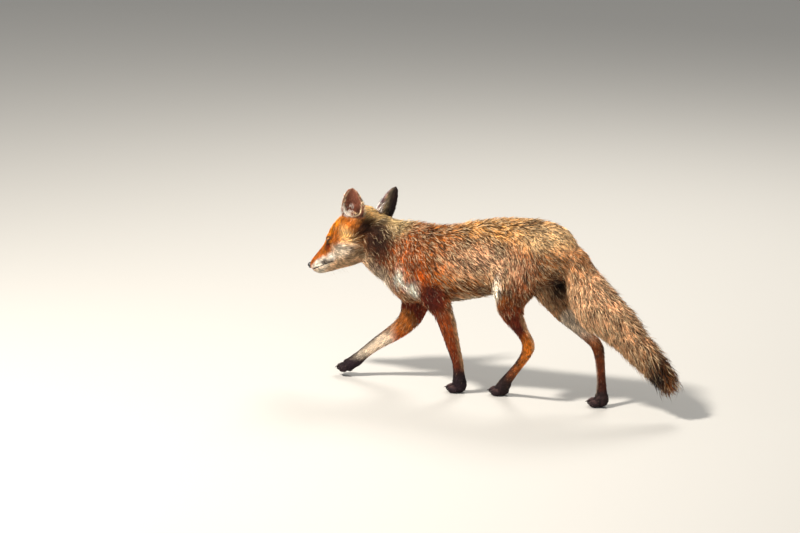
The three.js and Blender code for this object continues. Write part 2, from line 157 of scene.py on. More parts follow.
# Stretches of coat: from one joint to another, the girth there, how deep the coat stands over
# the skin, how long its tufts are, how much they hang, a sweep added to their lie, and which
# piece of the coat they belong to. Pairs are values at the two joints, in millimetres.
NO_SWEEP = (0, 0, 0)
STRETCHES = [
    ("nose", "brow", (13, 27), (1.0, 2.2), (4, 8), 0.05, NO_SWEEP, "head"),
    ("brow", "poll", (34, 50), (2.6, 7), (9, 17), 0.1, NO_SWEEP, "head"),
    ("chin", "gullet", (13, 26), (1.2, 5), (5, 14), 0.15, NO_SWEEP, "head"),
    ("lip_left", "cheek_left", (12, 26), (1.4, 8), (6, 21), 0.35, (0, -0.2, 0), "head"),
    ("lip_right", "cheek_right", (12, 26), (1.4, 8), (6, 21), 0.35, (0, 0.2, 0), "head"),
    ("ear_left", "ear_left_tip", (22, 14), (0.5, 0.4), (7, 5), 0, NO_SWEEP, "ears"),
    ("ear_right", "ear_right_tip", (22, 14), (0.5, 0.4), (7, 5), 0, NO_SWEEP, "ears"),
    ("neck", "base", (44, 52), (10, 13), (28, 31), 0.75, NO_SWEEP, "neck"),
    ("base", "withers", (52, 70), (13, 11), (31, 30), 0.8, NO_SWEEP, "neck"),
    ("withers", "ribs", (76, 80), (10, 10), (29, 27), 0.75, NO_SWEEP, "flank"),
    ("ribs", "loins", (78, 72), (10, 9), (27, 27), 0.7, NO_SWEEP, "flank"),
    ("loins", "croup", (70, 52), (9, 9), (26, 24), 0.7, NO_SWEEP, "rump"),
    ("dock", "brush_1", (40, 44), (12, 20), (30, 40), 0.3, NO_SWEEP, "brush"),
    ("brush_1", "brush_2", (46, 46), (21, 24), (42, 48), 0.4, NO_SWEEP, "brush"),
    ("brush_2", "brush_3", (44, 42), (25, 26), (48, 52), 0.45, NO_SWEEP, "brush"),
    ("brush_3", "brush_4", (42, 38), (26, 25), (52, 50), 0.4, NO_SWEEP, "brush"),
    ("brush_4", "brush_end", (36, 22), (24, 15), (46, 32), 0.15, NO_SWEEP, "brush"),
]
FORELEG = [
    ("shoulder", "elbow", (42, 26), (8, 5), (24, 17), 0.5, (0.7, 0, 0), "shoulder"),
    ("elbow", "forearm", (20, 17), (4, 2.6), (14, 10), 0.2, NO_SWEEP, "forelegs"),
    ("forearm", "wrist", (16, 13), (2.4, 1.8), (10, 8), 0, NO_SWEEP, "forelegs"),
    ("wrist", "pastern", (13, 13), (1.8, 1.5), (8, 7), 0, NO_SWEEP, "forelegs"),
    ("pastern", "toes", (15, 14), (1.3, 0.7), (6, 3.2), 0, NO_SWEEP, "forelegs"),
]
HINDLEG = [
    ("hip", "stifle", (58, 36), (8, 6.5), (23, 20), 0.4, (0.5, 0, 0), "thighs"),
    ("stifle", "shin", (30, 17), (5, 3.2), (17, 12), 0.2, NO_SWEEP, "hindlegs"),
    ("shin", "hock", (16, 13), (3, 2.2), (11, 9), 0, NO_SWEEP, "hindlegs"),
    ("hock", "cannon", (13, 12), (2, 1.7), (9, 8), 0, NO_SWEEP, "hindlegs"),
    ("cannon", "sole", (12, 13), (1.7, 1.5), (8, 7), 0, NO_SWEEP, "hindlegs"),
    ("sole", "claws", (15, 14), (1.3, 0.7), (6, 3.2), 0, NO_SWEEP, "hindlegs"),
]
for leg in (FORELEG, HINDLEG):
    for side in ("left", "right"):
        STRETCHES += [(f"{start}_{side}", f"{end}_{side}", *rest) for start, end, *rest in leg]
# Colours of the coat at the two ends of each stretch, by its first joint, and how grizzled it is.
TINTS = {
    "nose": ("#b8662a", "#c26a28", 0.1), "brow": ("#cf8230", "#c47a32", 0.15),
    "chin": ("#e6d6be", "#d8ae86", 0.2), "lip": ("#e6d8c4", "#c08a58", 0.5),
    "ear": ("#c47032", "#3a2624", 0.1),
    "neck": ("#7c462c", "#8c4a2a", 0.8), "base": ("#a85a2c", "#b0602c", 0.8),
    "withers": ("#b86c36", "#bd8250", 1.0), "ribs": ("#bd8558", "#b87d4e", 1.0),
    "loins": ("#c88c58", "#ca8652", 0.9), "dock": ("#dca67a", "#e0b088", 0.8),
    "brush_1": ("#e0b088", "#d8a880", 0.9), "brush_2": ("#d0a078", "#b4845e", 0.9),
    "brush_3": ("#a4704a", "#7a4a30", 0.8), "brush_4": ("#6a4028", "#4a2c1c", 0.5),
    "shoulder": ("#b8541a", "#74290f", 0.3), "elbow": ("#6a230c", "#a04a20", 0.2),
    "forearm": ("#a04a20", "#8a381a", 0.25), "wrist": ("#64301c", "#2b1d22", 0.2),
    "pastern": ("#2b1d22", "#2b1d22", 0.1),
    "hip": ("#8c4828", "#682a16", 0.6), "stifle": ("#7e3014", "#541a0a", 0.2),
    "shin": ("#702810", "#d07a34", 0.2), "hock": ("#d07a34", "#a85c2c", 0.2),
    "cannon": ("#94502a", "#30201e", 0.2), "sole": ("#30201e", "#2b1d22", 0.1),
}
BLEND_SHARPNESS = 5.0


def linear(colour):
    """An sRGB colour in hex as linear red, green and blue."""
    parts = np.array([int(colour[i:i + 2], 16) for i in (1, 3, 5)]) / 255
    return np.where(parts <= 0.04045, parts / 12.92, ((parts + 0.055) / 1.055) ** 2.4)


def unit(vectors):
    return vectors / np.maximum(np.linalg.norm(vectors, axis=-1, keepdims=True), 1e-9)


def box_of(name):
    """The low and high corners of a solid, in millimetres."""
    return (np.array(corner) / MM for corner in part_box(name))


def coat_facts(points):
    """At each point: lie of the coat (3), hang, depth, length, colour (3) and grizzle, and its
    nearest stretch."""
    total = np.zeros(len(points))
    facts = np.zeros((len(points), 10))
    nearest = np.full(len(points), np.inf)
    which = np.zeros(len(points), int)
    for number, (start, end, girth, depth, length, hang, sweep, _) in enumerate(STRETCHES):
        a, b = np.array(JOINTS[start], float), np.array(JOINTS[end], float)
        run = b - a
        share = np.clip((points - a) @ run / (run @ run), 0, 1)
        away = np.linalg.norm(points - a - share[:, None] * run, axis=1)
        reach = away / (girth[0] + (girth[1] - girth[0]) * share)
        weight = np.exp(-BLEND_SHARPNESS * reach)
        lie = run / np.linalg.norm(run) + np.array(sweep)
        facts[:, 0:3] += weight[:, None] * lie
        facts[:, 3] += weight * hang
        facts[:, 4] += weight * (depth[0] + (depth[1] - depth[0]) * share)
        facts[:, 5] += weight * (length[0] + (length[1] - length[0]) * share)
        first, last, grizzle = TINTS[start.split("_left")[0].split("_right")[0]]
        tint = linear(first) + (linear(last) - linear(first)) * share[:, None]
        facts[:, 6:9] += weight[:, None] * tint
        facts[:, 9] += weight * grizzle
        total += weight
        closer = reach < nearest
        nearest[closer] = reach[closer]
        which[closer] = number
    return facts / total[:, None], which


class Grid:
    """Values on an even grid, read between its points. Millimetres."""

    def __init__(self, low, cell, values):
        self.low = np.array(low, float)
        self.cell = cell
        self.values = values
        self.top = np.array(values.shape[:3]) - 1.001

    def at(self, points):
        place = np.clip((points - self.low) / self.cell, 0, self.top)
        whole = place.astype(int)
        part = place - whole
        out = 0
        for corner in np.ndindex(2, 2, 2):
            index = whole + corner
            share = np.prod(np.where(corner, part, 1 - part), axis=1)
            value = self.values[index[:, 0], index[:, 1], index[:, 2]]
            out = out + (share[:, None] * value if value.ndim > 1 else share * value)
        return out

    def slope(self, points, step=None):
        step = step or self.cell
        out = np.empty_like(points)
        for axis in range(3):
            push = np.zeros(3)
            push[axis] = step
            out[:, axis] = self.at(points + push) - self.at(points - push)
        return unit(out)


def grid_points(low, cell, shape):
    return np.stack(np.meshgrid(*(low[i] + cell * np.arange(shape[i]) for i in range(3)), indexing="ij"), -1)


FACT_CELL = 7.0
fact_low = np.array(cad_low) / MM - 20
fact_shape = np.ceil((np.array(cad_high) / MM + 20 - fact_low) / FACT_CELL).astype(int) + 1
fact_points = grid_points(fact_low, FACT_CELL, fact_shape).reshape(-1, 3)
facts = Grid(fact_low, FACT_CELL, coat_facts(fact_points)[0].reshape(*fact_shape, 10))

# ---------------------------------------------------------------- the skin
# One skin over the whole animal, without a seam, as far inside the solids as its coat is deep.
# It is made on two grids of distances, a fine one for the head, joined in a ring at the neck.
BODY_CELL = 3.0  # mm
HEAD_CELL = 1.5
CUT_SEAL = 0.3  # closes the thin cuts between the solids
EYE_RADIUS = 10.0
EYE_PLACES = {}
for side in ("left", "right"):
    low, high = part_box("eye_" + side)
    EYE_PLACES[side] = np.array((low + high) / 2) / MM
EAR_NODES = ("ear_left", "ear_right")
SEPARATE = ("eye_", "claw", "nose")
FLESH = [name for name in nodes if not any(word in name for word in SEPARATE)]
HEAD_BOX = ((-436, -78, 178), (-176, 84, 430))
BODY_REACH, HEAD_REACH = 42, 38  # mm to which distances are worked out
BODY_SOFTENING, HEAD_SOFTENING = 1.2, 1.4  # cells
NECK_PLANE = (np.array([-215.0, 0, 290.0]), unit(np.array([-0.8, 0, 0.6])))


def headward(points):
    """How far points are past the neck's ring towards the head."""
    return (points - NECK_PLANE[0]) @ NECK_PLANE[1]


def solid_of(name):
    """A CAD node's corners, merged, and its triangles, in millimetres."""
    mesh = nodes[name].data
    mesh.calc_loop_triangles()
    corners = np.empty(len(mesh.vertices) * 3, np.float32)
    mesh.vertices.foreach_get("co", corners)
    corners = corners.reshape(-1, 3) / MM
    faces = np.empty(len(mesh.loop_triangles) * 3, np.int32)
    mesh.loop_triangles.foreach_get("vertices", faces)
    merged, index = np.unique(np.round(corners, 3), axis=0, return_inverse=True)
    faces = index.reshape(-1)[faces].reshape(-1, 3)
    flat = (faces[:, 0] == faces[:, 1]) | (faces[:, 1] == faces[:, 2]) | (faces[:, 0] == faces[:, 2])
    return merged.astype(np.float32), faces[~flat].astype(np.int32)


class Block:
    """A box of even cells for distances, in millimetres."""

    def __init__(self, low, high, cell):
        self.cell = cell
        self.start = np.floor(np.array(low) / cell).astype(int)
        self.shape = tuple(np.ceil(np.array(high) / cell).astype(int) - self.start + 1)

    def distances(self, corners, faces, reach, quads=None):
        made = openvdb.FloatGrid.createLevelSetFromPolygons(
            corners, triangles=faces, quads=quads,
            transform=openvdb.createLinearTransform(self.cell), halfWidth=reach / self.cell)
        out = np.empty(self.shape, np.float32)
        made.copyToArray(out, ijk=tuple(int(i) for i in self.start))
        return out

    def surface(self, values, level):
        grid = openvdb.FloatGrid(float(values.max()))
        grid.transform = openvdb.createLinearTransform(self.cell)
        grid.copyFromArray(values.astype(np.float32), ijk=tuple(int(i) for i in self.start))
        return grid.convertToQuads(level)

    def grid(self, values):
        return Grid(self.start * self.cell, self.cell, values)

    def points(self):
        return grid_points(self.start * self.cell, self.cell, self.shape)


def softened(values, spread):
    """Blurred by a bell curve of that many cells."""
    reach = int(math.ceil(spread * 2.5))
    weights = np.exp(-0.5 * (np.arange(-reach, reach + 1) / spread) ** 2)
    weights /= weights.sum()
    for axis in range(3):
        padded = np.pad(values, [(reach, reach) if i == axis else (0, 0) for i in range(3)], mode="edge")
        count = values.shape[axis]
        values = sum(w * np.take(padded, range(i, i + count), axis) for i, w in enumerate(weights))
    return values


def joined(a, b, fillet):
    """The union of two distances, rounded where they meet."""
    mix = np.clip(0.5 + 0.5 * (b - a) / fillet, 0, 1)
    return b + (a - b) * mix - fillet * mix * (1 - mix)


def whole_distances(block, names, reach):
    """Distances to the union of solids, sealed across the cuts between them."""
    near = 3 * block.cell
    union = np.full(block.shape, near, np.float32)
    for name in names:
        corners, faces = solid_of(name)
        union = np.minimum(union, block.distances(corners, faces, near))
    corners, quads = block.surface(union, CUT_SEAL)
    return block.distances(corners, None, reach, quads)


def less_coat(block, distances):
    """Raised by the depth of the coat, so that zero is the skin."""
    out = distances.copy()
    depth = Grid(fact_low, FACT_CELL, facts.values[..., 4])
    near = (distances < 8) & (distances > -36)
    out[near] += depth.at(block.points()[near])
    return out


body_block = Block(np.array(cad_low) / MM - 30, np.array(cad_high) / MM + 30, BODY_CELL)
body_names = [name for name in FLESH if name not in EAR_NODES]
body_whole = whole_distances(body_block, body_names, BODY_REACH)
body_height = less_coat(body_block, softened(body_whole, BODY_SOFTENING))
head_block = Block(*HEAD_BOX, HEAD_CELL)
head_names = [name for name in body_names if name in ("head", "lower_jaw", "neck", "trunk")]
head_whole = whole_distances(head_block, head_names, HEAD_REACH)
head_height = less_coat(head_block, softened(head_whole, HEAD_SOFTENING))

# The ears' thin shells keep their edge and grow out of a rounded root under the coat.
head_points = head_block.points()
EAR_SKIN = 0.35  # mm of short hair over the shell
EAR_ROOTS = {"left": (24, 15, 20), "right": (24, 16, 20)}
ROOT_FILLET, SHELL_FILLET = 8, 2.5


def ear_line(side):
    """The middle of an ear's root and the way from there to its tip."""
    root = np.array(JOINTS["ear_" + side], float)
    return root, unit(np.array(JOINTS[f"ear_{side}_tip"], float) - root)


ear_shell = np.full(head_block.shape, 20, np.float32)
for side in ("left", "right"):
    corners, faces = solid_of("ear_" + side)
    shell = head_block.distances(corners, faces, 10) + EAR_SKIN
    ear_shell = np.minimum(ear_shell, shell)
    root, rise = ear_line(side)
    away = (head_points - root - rise * 3) / np.array(EAR_ROOTS[side])
    bulb = (np.linalg.norm(away, axis=-1) - 1) * 15
    head_height = joined(head_height, bulb.astype(np.float32), ROOT_FILLET)
head_height = joined(head_height, ear_shell, SHELL_FILLET)

# The lips part in a crease, and round each eye the skin swells over the eyeball.
MOUTH_FRONT = (7, -16.5)  # back and up, in the head's own frame
MOUTH_CORNER = (55, -22.5)
CREASE_DEPTH, CREASE_WIDTH = 1.8, 1.1
MUZZLE_REAR = -330.0
LID_SWELL, LID_FILLET = 0.5, 4


def lip_line(points):
    """How far above the parting of the lips, and how far back along it."""
    back, _, up = head_frame(points)
    run = np.array(MOUTH_CORNER) - MOUTH_FRONT
    run = run / np.linalg.norm(run)
    along = (back - MOUTH_FRONT[0]) * run[0] + (up - MOUTH_FRONT[1]) * run[1]
    above = (up - MOUTH_FRONT[1]) * run[0] - (back - MOUTH_FRONT[0]) * run[1]
    return above, along


def at_lips(points, width, start, end):
    """Whether points are in a strip along the parting of the lips."""
    above, along = lip_line(points)
    return (np.abs(above) < width) & (along > start) & (along < end) & (points[:, 0] < MUZZLE_REAR)


above, along = lip_line(head_points)
within = np.clip((along + 6) / 4, 0, 1) * np.clip((51 - along) / 4, 0, 1)
head_height += CREASE_DEPTH * within * np.exp(-((above / CREASE_WIDTH) ** 2))
for place in EYE_PLACES.values():
    from_eye = np.linalg.norm(head_points - place, axis=-1)
    lids = (from_eye - EYE_RADIUS - LID_SWELL).astype(np.float32)
    head_height = joined(head_height, lids, LID_FILLET)

# Each eye looks out, forward and a little up, and its lids run from a low inner corner to a
# higher outer one.
LOOK = (-0.42, 0.83, 0.36)  # in the head's own frame, back, out and up
LID_SLOPE = -0.05
OPENING = {"half_width": 7.3, "above": 2.5, "below": 1.9}
SOCKET_ANGLE = math.radians(52)
SOCKET_DEPTH = 2.0
SOCKET_REACH = 22.0


def eye_frame(side):
    """The way an eye looks, the way from its inner to its outer corner, and up across its lids."""
    out = -1 if side == "left" else 1
    look = unit(HEAD_BACK * LOOK[0] + HEAD_RIGHT * LOOK[1] * out + HEAD_UP * LOOK[2])
    outer = HEAD_BACK + HEAD_UP * LID_SLOPE
    outer = unit(outer - look * (outer @ look))
    over = np.cross(look, outer)
    return look, outer, over if over[2] > 0 else -over


for side, place in EYE_PLACES.items():
    look, outer, over = eye_frame(side)
    away = head_points - place
    distance = np.linalg.norm(away, axis=-1)
    angle = np.arccos(np.clip(away @ look / np.maximum(distance, 1e-6), -1, 1))
    tilt = np.abs(away @ over) / np.maximum(distance, 1e-6)
    opening = (SOCKET_ANGLE - 0.55 * tilt - angle) * EYE_RADIUS
    carved = np.minimum(opening, distance - EYE_RADIUS + SOCKET_DEPTH)
    near = distance < SOCKET_REACH
    head_height[near] = np.maximum(head_height, carved)[near]

# Near the neck's ring the fine grid takes on the coarse one's heights, so that the two meet.
RING_BLEND = 14.0
past_ring = headward(head_points)
near = (np.abs(past_ring) < RING_BLEND) & (np.abs(head_height) < 8)
share = np.clip(past_ring[near] / RING_BLEND, 0, 1)
coarse = body_block.grid(body_height).at(head_points[near])
head_height[near] = head_height[near] * share + coarse * (1 - share)

body_skin = body_block.surface(body_height, 0.0)
head_skin = head_block.surface(head_height, 0.0)


def half_of(surface, keep):
    """The part of a surface on one side of the neck's ring, as a bmesh in millimetres."""
    point, normal = NECK_PLANE
    corners, quads = surface
    mesh = bpy.data.meshes.new("part")
    mesh.from_pydata(corners.tolist(), [], quads.tolist())
    made = bmesh.new()
    made.from_mesh(mesh)
    bpy.data.meshes.remove(mesh)
    bmesh.ops.bisect_plane(
        made, geom=made.verts[:] + made.edges[:] + made.faces[:], dist=0.01,
        plane_co=point, plane_no=normal * keep, clear_inner=True)
    return made


def largest_only(made):
    """Drops small loose pieces of a surface."""
    unseen = set(made.verts)
    pieces = []
    while unseen:
        seed = unseen.pop()
        piece, queue = {seed}, [seed]
        while queue:
            for edge in queue.pop().link_edges:
                for vert in edge.verts:
                    if vert in unseen:
                        unseen.discard(vert)
                        piece.add(vert)
                        queue.append(vert)
        pieces.append(piece)
    largest = max(pieces, key=len)
    bmesh.ops.delete(made, geom=[v for v in made.verts if v not in largest], context="VERTS")


def open_verts(half):
    """The verts on a half's open edges."""
    return [vert for vert in half.verts if vert.is_boundary]


def rim_of(half):
    """The verts round a half's open rim, in order, anticlockwise about the neck."""
    edge = next(edge for edge in half.edges if edge.is_boundary)
    start, vert = edge.verts
    rim = [start]
    while vert is not start:
        rim.append(vert)
        edge = next(e for e in vert.link_edges if e.is_boundary and e is not edge)
        vert = edge.other_vert(vert)
    places = np.array([v.co for v in rim])
    turned = np.cross(places, np.roll(places, -1, axis=0)).sum(axis=0) @ NECK_PLANE[1]
    return rim if turned > 0 else rim[::-1]


def match_rims(fine, coarse):
    """Draws each coarse rim vert to a fine one, and parts the coarse rim at those between."""
    places = np.array([v.co for v in fine])
    first = int(np.argmin(np.linalg.norm(places - np.array(coarse[0].co), axis=1)))
    places = np.roll(places, -first, axis=0)
    taken = [0]
    for number, vert in enumerate(coarse[1:], 1):
        last = len(places) - (len(coarse) - number)
        window = places[taken[-1] + 1:min(taken[-1] + 12, last) + 1]
        taken.append(taken[-1] + 1 + int(np.argmin(np.linalg.norm(window - np.array(vert.co), axis=1))))
    for number, vert in enumerate(coarse):
        vert.co = places[taken[number]]
    for number, vert in enumerate(coarse):
        after = coarse[(number + 1) % len(coarse)]
        end = taken[number + 1] if number + 1 < len(taken) else len(places)
        for index in range(taken[number] + 1, end):
            edge = next(e for e in vert.link_edges if e.other_vert(vert) is after)
            vert = bmesh.utils.edge_split(edge, vert, 0.5)[1]
            vert.co = places[index]


front_half = half_of(head_skin, 1)
rear_half = half_of(body_skin, -1)
for half in (front_half, rear_half):
    largest_only(half)
    bmesh.ops.remove_doubles(half, verts=open_verts(half), dist=0.6)
match_rims(rim_of(front_half), rim_of(rear_half))
front_mesh = bpy.data.meshes.new("front")
front_half.to_mesh(front_mesh)
rear_half.from_mesh(front_mesh)
bpy.data.meshes.remove(front_mesh)
front_half.free()
bmesh.ops.remove_doubles(rear_half, verts=open_verts(rear_half), dist=0.01)
bmesh.ops.triangulate(rear_half, faces=[face for face in rear_half.faces if len(face.verts) > 4])
bmesh.ops.recalc_face_normals(rear_half, faces=rear_half.faces)

# The paws are made finer: their faces are parted in two each way and drawn to a finer grid.
PAW_CELL = 1.0
PAW_REACH = 4.0  # mm over which the finer shape fades in
PAW_SKIN = 0.9  # mm of fur over it
PAW_SOFTENING = 0.6  # cells
PAW_MARGIN = 4  # mm round the solid paw
PAWS = ("left_fore", "right_fore", "left_hind", "right_hind")
PAW_TOP = 26  # mm above the floor
RAISED_LONG, RAISED_HIGH = 34, 30  # of the raised paw, from the low corner of its solid
TOE_WAYS = {paw: unit(np.array([-1.0, 0, -0.1])) for paw in PAWS}
TOE_WAYS["right_fore"] = unit(np.array([-0.9, -0.1, -0.42]))
TOE_REACH = 12.0  # mm back from the claws
GROOVE_WIDTH = 3.2
GROOVE_DEPTH = 1.6
paw_grids = []


def smooth(low, high, values):
    """From 0 at low to 1 at high, without a corner."""
    share = np.clip((values - low) / (high - low), 0, 1)
    return share * share * (3 - 2 * share)


def between_toes(points, paw):
    """1 midway between two toes of a paw, and 0 along them and away from them."""
    away = []
    for number in range(1, 5):
        low, high = box_of(f"{paw}_claw_{number}")
        off = points - (low + high) / 2
        held = np.clip(-(off @ TOE_WAYS[paw]), 0, TOE_REACH)
        away.append(np.linalg.norm(off + held[..., None] * TOE_WAYS[paw], axis=-1))
    away = np.sort(np.stack(away), axis=0)
    return np.exp(-((away[1] - away[0]) / GROOVE_WIDTH) ** 2) * (1 - smooth(8, 13, away[0]))


def within_box(place, low, high):
    return all(low[i] < place[i] < high[i] for i in range(3))


def draw_to_surface(corners, height):
    """Steps corners along the slope of a height until they are where it's zero."""
    for _ in range(4):
        off = np.clip(height.at(corners), -2, 2)
        corners = corners - height.slope(corners, 0.8) * off[:, None]
    return corners


for paw in PAWS:
    low, high = box_of(paw + "_foot")
    if paw == "right_fore":
        high[0] = low[0] + RAISED_LONG
        high[2] = low[2] + RAISED_HIGH
    else:
        high[2] = PAW_TOP
    block = Block(low - 6, high + 6, PAW_CELL)
    solid = softened(whole_distances(block, [paw + "_foot"], 9), PAW_SOFTENING)
    finer = block.grid(solid + PAW_SKIN + GROOVE_DEPTH * between_toes(block.points(), paw))
    low -= PAW_MARGIN
    paw_grids.append((low, high, finer))
    inside = [face for face in rear_half.faces if within_box(face.calc_center_median(), low, high)]
    edges = list(dict.fromkeys(edge for face in inside for edge in face.edges))
    bmesh.ops.subdivide_edges(rear_half, edges=edges, cuts=1, use_grid_fill=True)
    verts = [v for v in rear_half.verts if within_box(v.co, low, high)]
    drawn = draw_to_surface(np.array([v.co for v in verts]), finer)
    for vert, place in zip(verts, drawn):
        fade = min(1.0, max(0.0, (high[2] - vert.co.z) / PAW_REACH))
        vert.co = vert.co.lerp(Vector(place), fade)
bmesh.ops.triangulate(rear_half, faces=[face for face in rear_half.faces if len(face.verts) > 4])
skin_mesh = bpy.data.meshes.new("skin")
rear_half.to_mesh(skin_mesh)
rear_half.free()

# ---------------------------------------------------------------- markings
# Where the coat changes colour. Each patch is a colour, the middle of the patch, its half sizes
# and how far it fades. Patches lie on both sides alike, and later ones lie over earlier ones.
# A lock takes its colour from its root, so each patch lies a lock's length before where it shows.
MIDDLE_Y = -6.0
HEAD_PATCHES = [  # back, out and up in the head's own frame, in millimetres
    ("#d4862e", (112, 0, 24), (50, 34, 20), 0.5),  # forehead
    ("#f2ca8c", (188, 0, 28), (46, 36, 24), 0.6),  # nape
    ("#a9582a", (44, 0, 4), (42, 9, 9), 0.5),  # bridge of the muzzle
    ("#e4bc94", (80, 22, -40), (62, 34, 15), 0.5),  # lower jaw
    ("#ded2c0", (20, 0, -27), (18, 15, 8), 0.5),  # chin
    ("#efe6d8", (34, 13, -13), (30, 9, 7.5), 0.4),  # upper lip
    ("#dfd0bc", (100, 44, -13), (32, 20, 15), 0.6),  # cheek
    ("#f3ece0", (66, 25, -15), (15, 15, 8.5), 0.4),  # white spot behind the whiskers
    ("#c8702c", (112, 38, 12), (22, 16, 13), 0.5),  # temple
    ("#84350f", (74, 22, 5), (17, 10, 8), 0.6),  # below the eye
    ("#2a1510", (76, 24, 11), (8, 9, 3.5), 0.6),  # inner corner of the eye
    ("#34190e", (93, 27, 15.5), (14, 9, 5.5), 0.5),  # outer corner of the eye
    ("#2a1512", (42, 15, -15), (9, 8, 4.5), 0.5),  # whisker bed
    ("#22120f", (57, 24, -22), (12, 11, 5), 0.5),  # corner of the mouth
    ("#f4c484", (134, 42, 6), (16, 20, 16), 0.6),  # below the ear
    ("#2a130a", (196, 46, -8), (34, 30, 34), 0.7),  # behind the ear
]
BODY_PATCHES = [  # along, out from the middle and up, in millimetres
    ("#dba468", (10, 0, 356), (150, 44, 24), 0.6),  # back
    ("#d4a684", (-10, 52, 300), (84, 30, 36), 0.7),  # upper flank
    ("#74401f", (0, 46, 232), (112, 32, 20), 0.6),  # lower flank
    ("#dcc8ac", (-14, 0, 202), (96, 36, 14), 0.5),  # belly
    ("#e0c08a", (-234, 0, 346), (44, 36, 24), 0.6),  # crest of the neck
    ("#d6c2ae", (-262, 0, 236), (48, 40, 34), 0.6),  # throat
    ("#301509", (-254, 44, 316), (46, 36, 48), 0.8),  # side of the neck
    ("#ecc390", (118, 10, 352), (60, 44, 20), 0.6),  # top of the rump: pale coat, partly a painted highlight on top
    ("#bc5a1c", (-186, 48, 292), (38, 28, 52), 0.6),  # shoulder
    ("#561c0a", (-120, 50, 210), (30, 26, 30), 0.6),  # elbow
    ("#fff4e6", (-202, 38, 252), (14, 28, 20), 0.4),  # chest
    ("#fff4e6", (-172, 40, 226), (22, 28, 20), 0.4),  # chest, lower down
    ("#f4e8d4", (24, 42, 232), (10, 26, 42), 0.4),  # front of the thigh
    ("#140806", (356, 20, 118), (28, 36, 26), 0.5),  # under the brush
    ("#130c0a", (390, 14, 56), (20, 34, 20), 0.4),  # tip of the brush
]
PAINTED_SHADE_RECESS = ("#260e07", (130, 14, 256), (26, 34, 46), 0.75)  # painted shade between the thighs, under the brush
RICHNESS = 1.1  # how much stronger than the tints above the colours come out
LIGHTEST = 0.9
DARKEST = 0.002


def on_pieces(which, *pieces):
    """Whether each stretch number belongs to one of the named pieces of the coat."""
    return np.isin(which, [i for i, row in enumerate(STRETCHES) if row[-1] in pieces])


def wobble(points, size):
    """A slow random-looking shift of places, in step over about that many millimetres."""
    out = np.zeros_like(points)
    for axis in range(3):
        turned = points @ np.array([[1.0, 0.7, -0.4], [-0.5, 1.1, 0.8], [0.6, -0.9, 1.2]])[axis]
        out[:, axis] = np.sin(turned / size + axis) + 0.6 * np.sin(turned * 2.3 / size + 2 * axis)
    return out


def painted(colours, places, patches):
    for colour, middle, reach, fade in patches:
        away = np.linalg.norm((places - middle) / reach, axis=1)
        share = 1 - smooth(1 - fade, 1 + fade, away)
        colours += (linear(colour) - colours) * share[:, None]
    return colours


def blend(colours, colour, share):
    return colours + (linear(colour) - colours) * np.clip(share, 0, 1)[:, None]


EAR_FACING = {  # the way each ear's cup opens
    "left": unit(np.array([-0.03, -0.98, 0.1])),
    "right": unit(np.array([-0.8, -0.5, 0.1])),
}
EAR_RIM = {"left": 0.85, "right": 0.2}
EAR_WITHIN = {"left": "#8a5644", "right": "#83626a"}
EAR_REAR = {  # from the front of each cup to its rear
    "left": np.array([1.0, 0, 0]),
    "right": unit(np.array([0.25, 0.96, 0])),
}


def leg_markings(colours, points, normals, which):
    """Legs are paler within and behind, and darker down the front, with a painted shadow of the brush
    on the far hind shin and a painted highlight on the tops of the toes. Each colour fades in between
    two heights above the floor, in millimetres, or between two turns of the surface."""
    along, height = points[:, 0], points[:, 2]
    ahead, upward = -normals[:, 0], normals[:, 2]
    far_side = points[:, 1] > MIDDLE_Y
    inward = -normals[:, 1] * np.where(far_side, 1, -1)
    legs = on_pieces(which, "forelegs", "hindlegs")
    fore = on_pieces(which, "forelegs")
    raised = fore & far_side
    low_end = np.where(fore, smooth(34, 62, height), smooth(120, 165, height))
    low_end = np.where(raised, smooth(34, 56, height) * (1 - smooth(-240, -216, along)), low_end)
    colours = blend(colours, "#f2e0c8", smooth(0.0, 0.5, inward) * legs * low_end * 0.9)
    front = smooth(0.25, 0.8, ahead) * legs
    colours = blend(colours, "#22161a", front * (1 - smooth(90, 150, height)) * 0.8)
    top_edge = smooth(0.35, 0.8, upward) * raised * (1 - smooth(-236, -226, along))
    colours = blend(colours, "#2a1c1e", top_edge * 0.85)
    rear = smooth(0.5, 0.95, -ahead) * legs * ~raised
    colours = blend(colours, "#d3a67c", rear * smooth(45, 80, height) * 0.75)
    colours = blend(colours, "#ab6a34", raised * smooth(86, 120, height) * 0.7)
    thighs = on_pieces(which, "thighs")
    colours = blend(colours, "#cfa077", thighs * smooth(0.1, 0.6, inward) * 0.8)
    mottle = smooth(0.1, 0.9, np.sin(height / 4.6 + 2.4 * np.sin(height / 9.7)))
    colours = blend(colours, "#241416", front * mottle * (1 - smooth(150, 200, height)) * 0.6)
    # Painted highlight: the tops of the toes, where they face up, are lightened to a pinkish grey.
    toes = legs * smooth(26, 18, height) * smooth(0.2, 0.9, upward)
    colours = blend(colours, "#7a5a55", toes * 0.4)
    far_hind = legs & ~fore & far_side
    # Painted shadow of the brush: the far hind shin is darker between these heights.
    shin = far_hind * smooth(150, 122, height) * smooth(30, 50, height)
    colours = blend(colours, "#4e1c0f", shin * 0.85)
    cannon = far_hind * smooth(106, 90, height) * smooth(22, 34, height)
    colours = blend(colours, "#d6c3b2", cannon * smooth(0.3, 0.8, ahead) * 0.7)
    for paw in PAWS:
        colours = blend(colours, "#120c0e", between_toes(points, paw) * 0.75)
    return colours


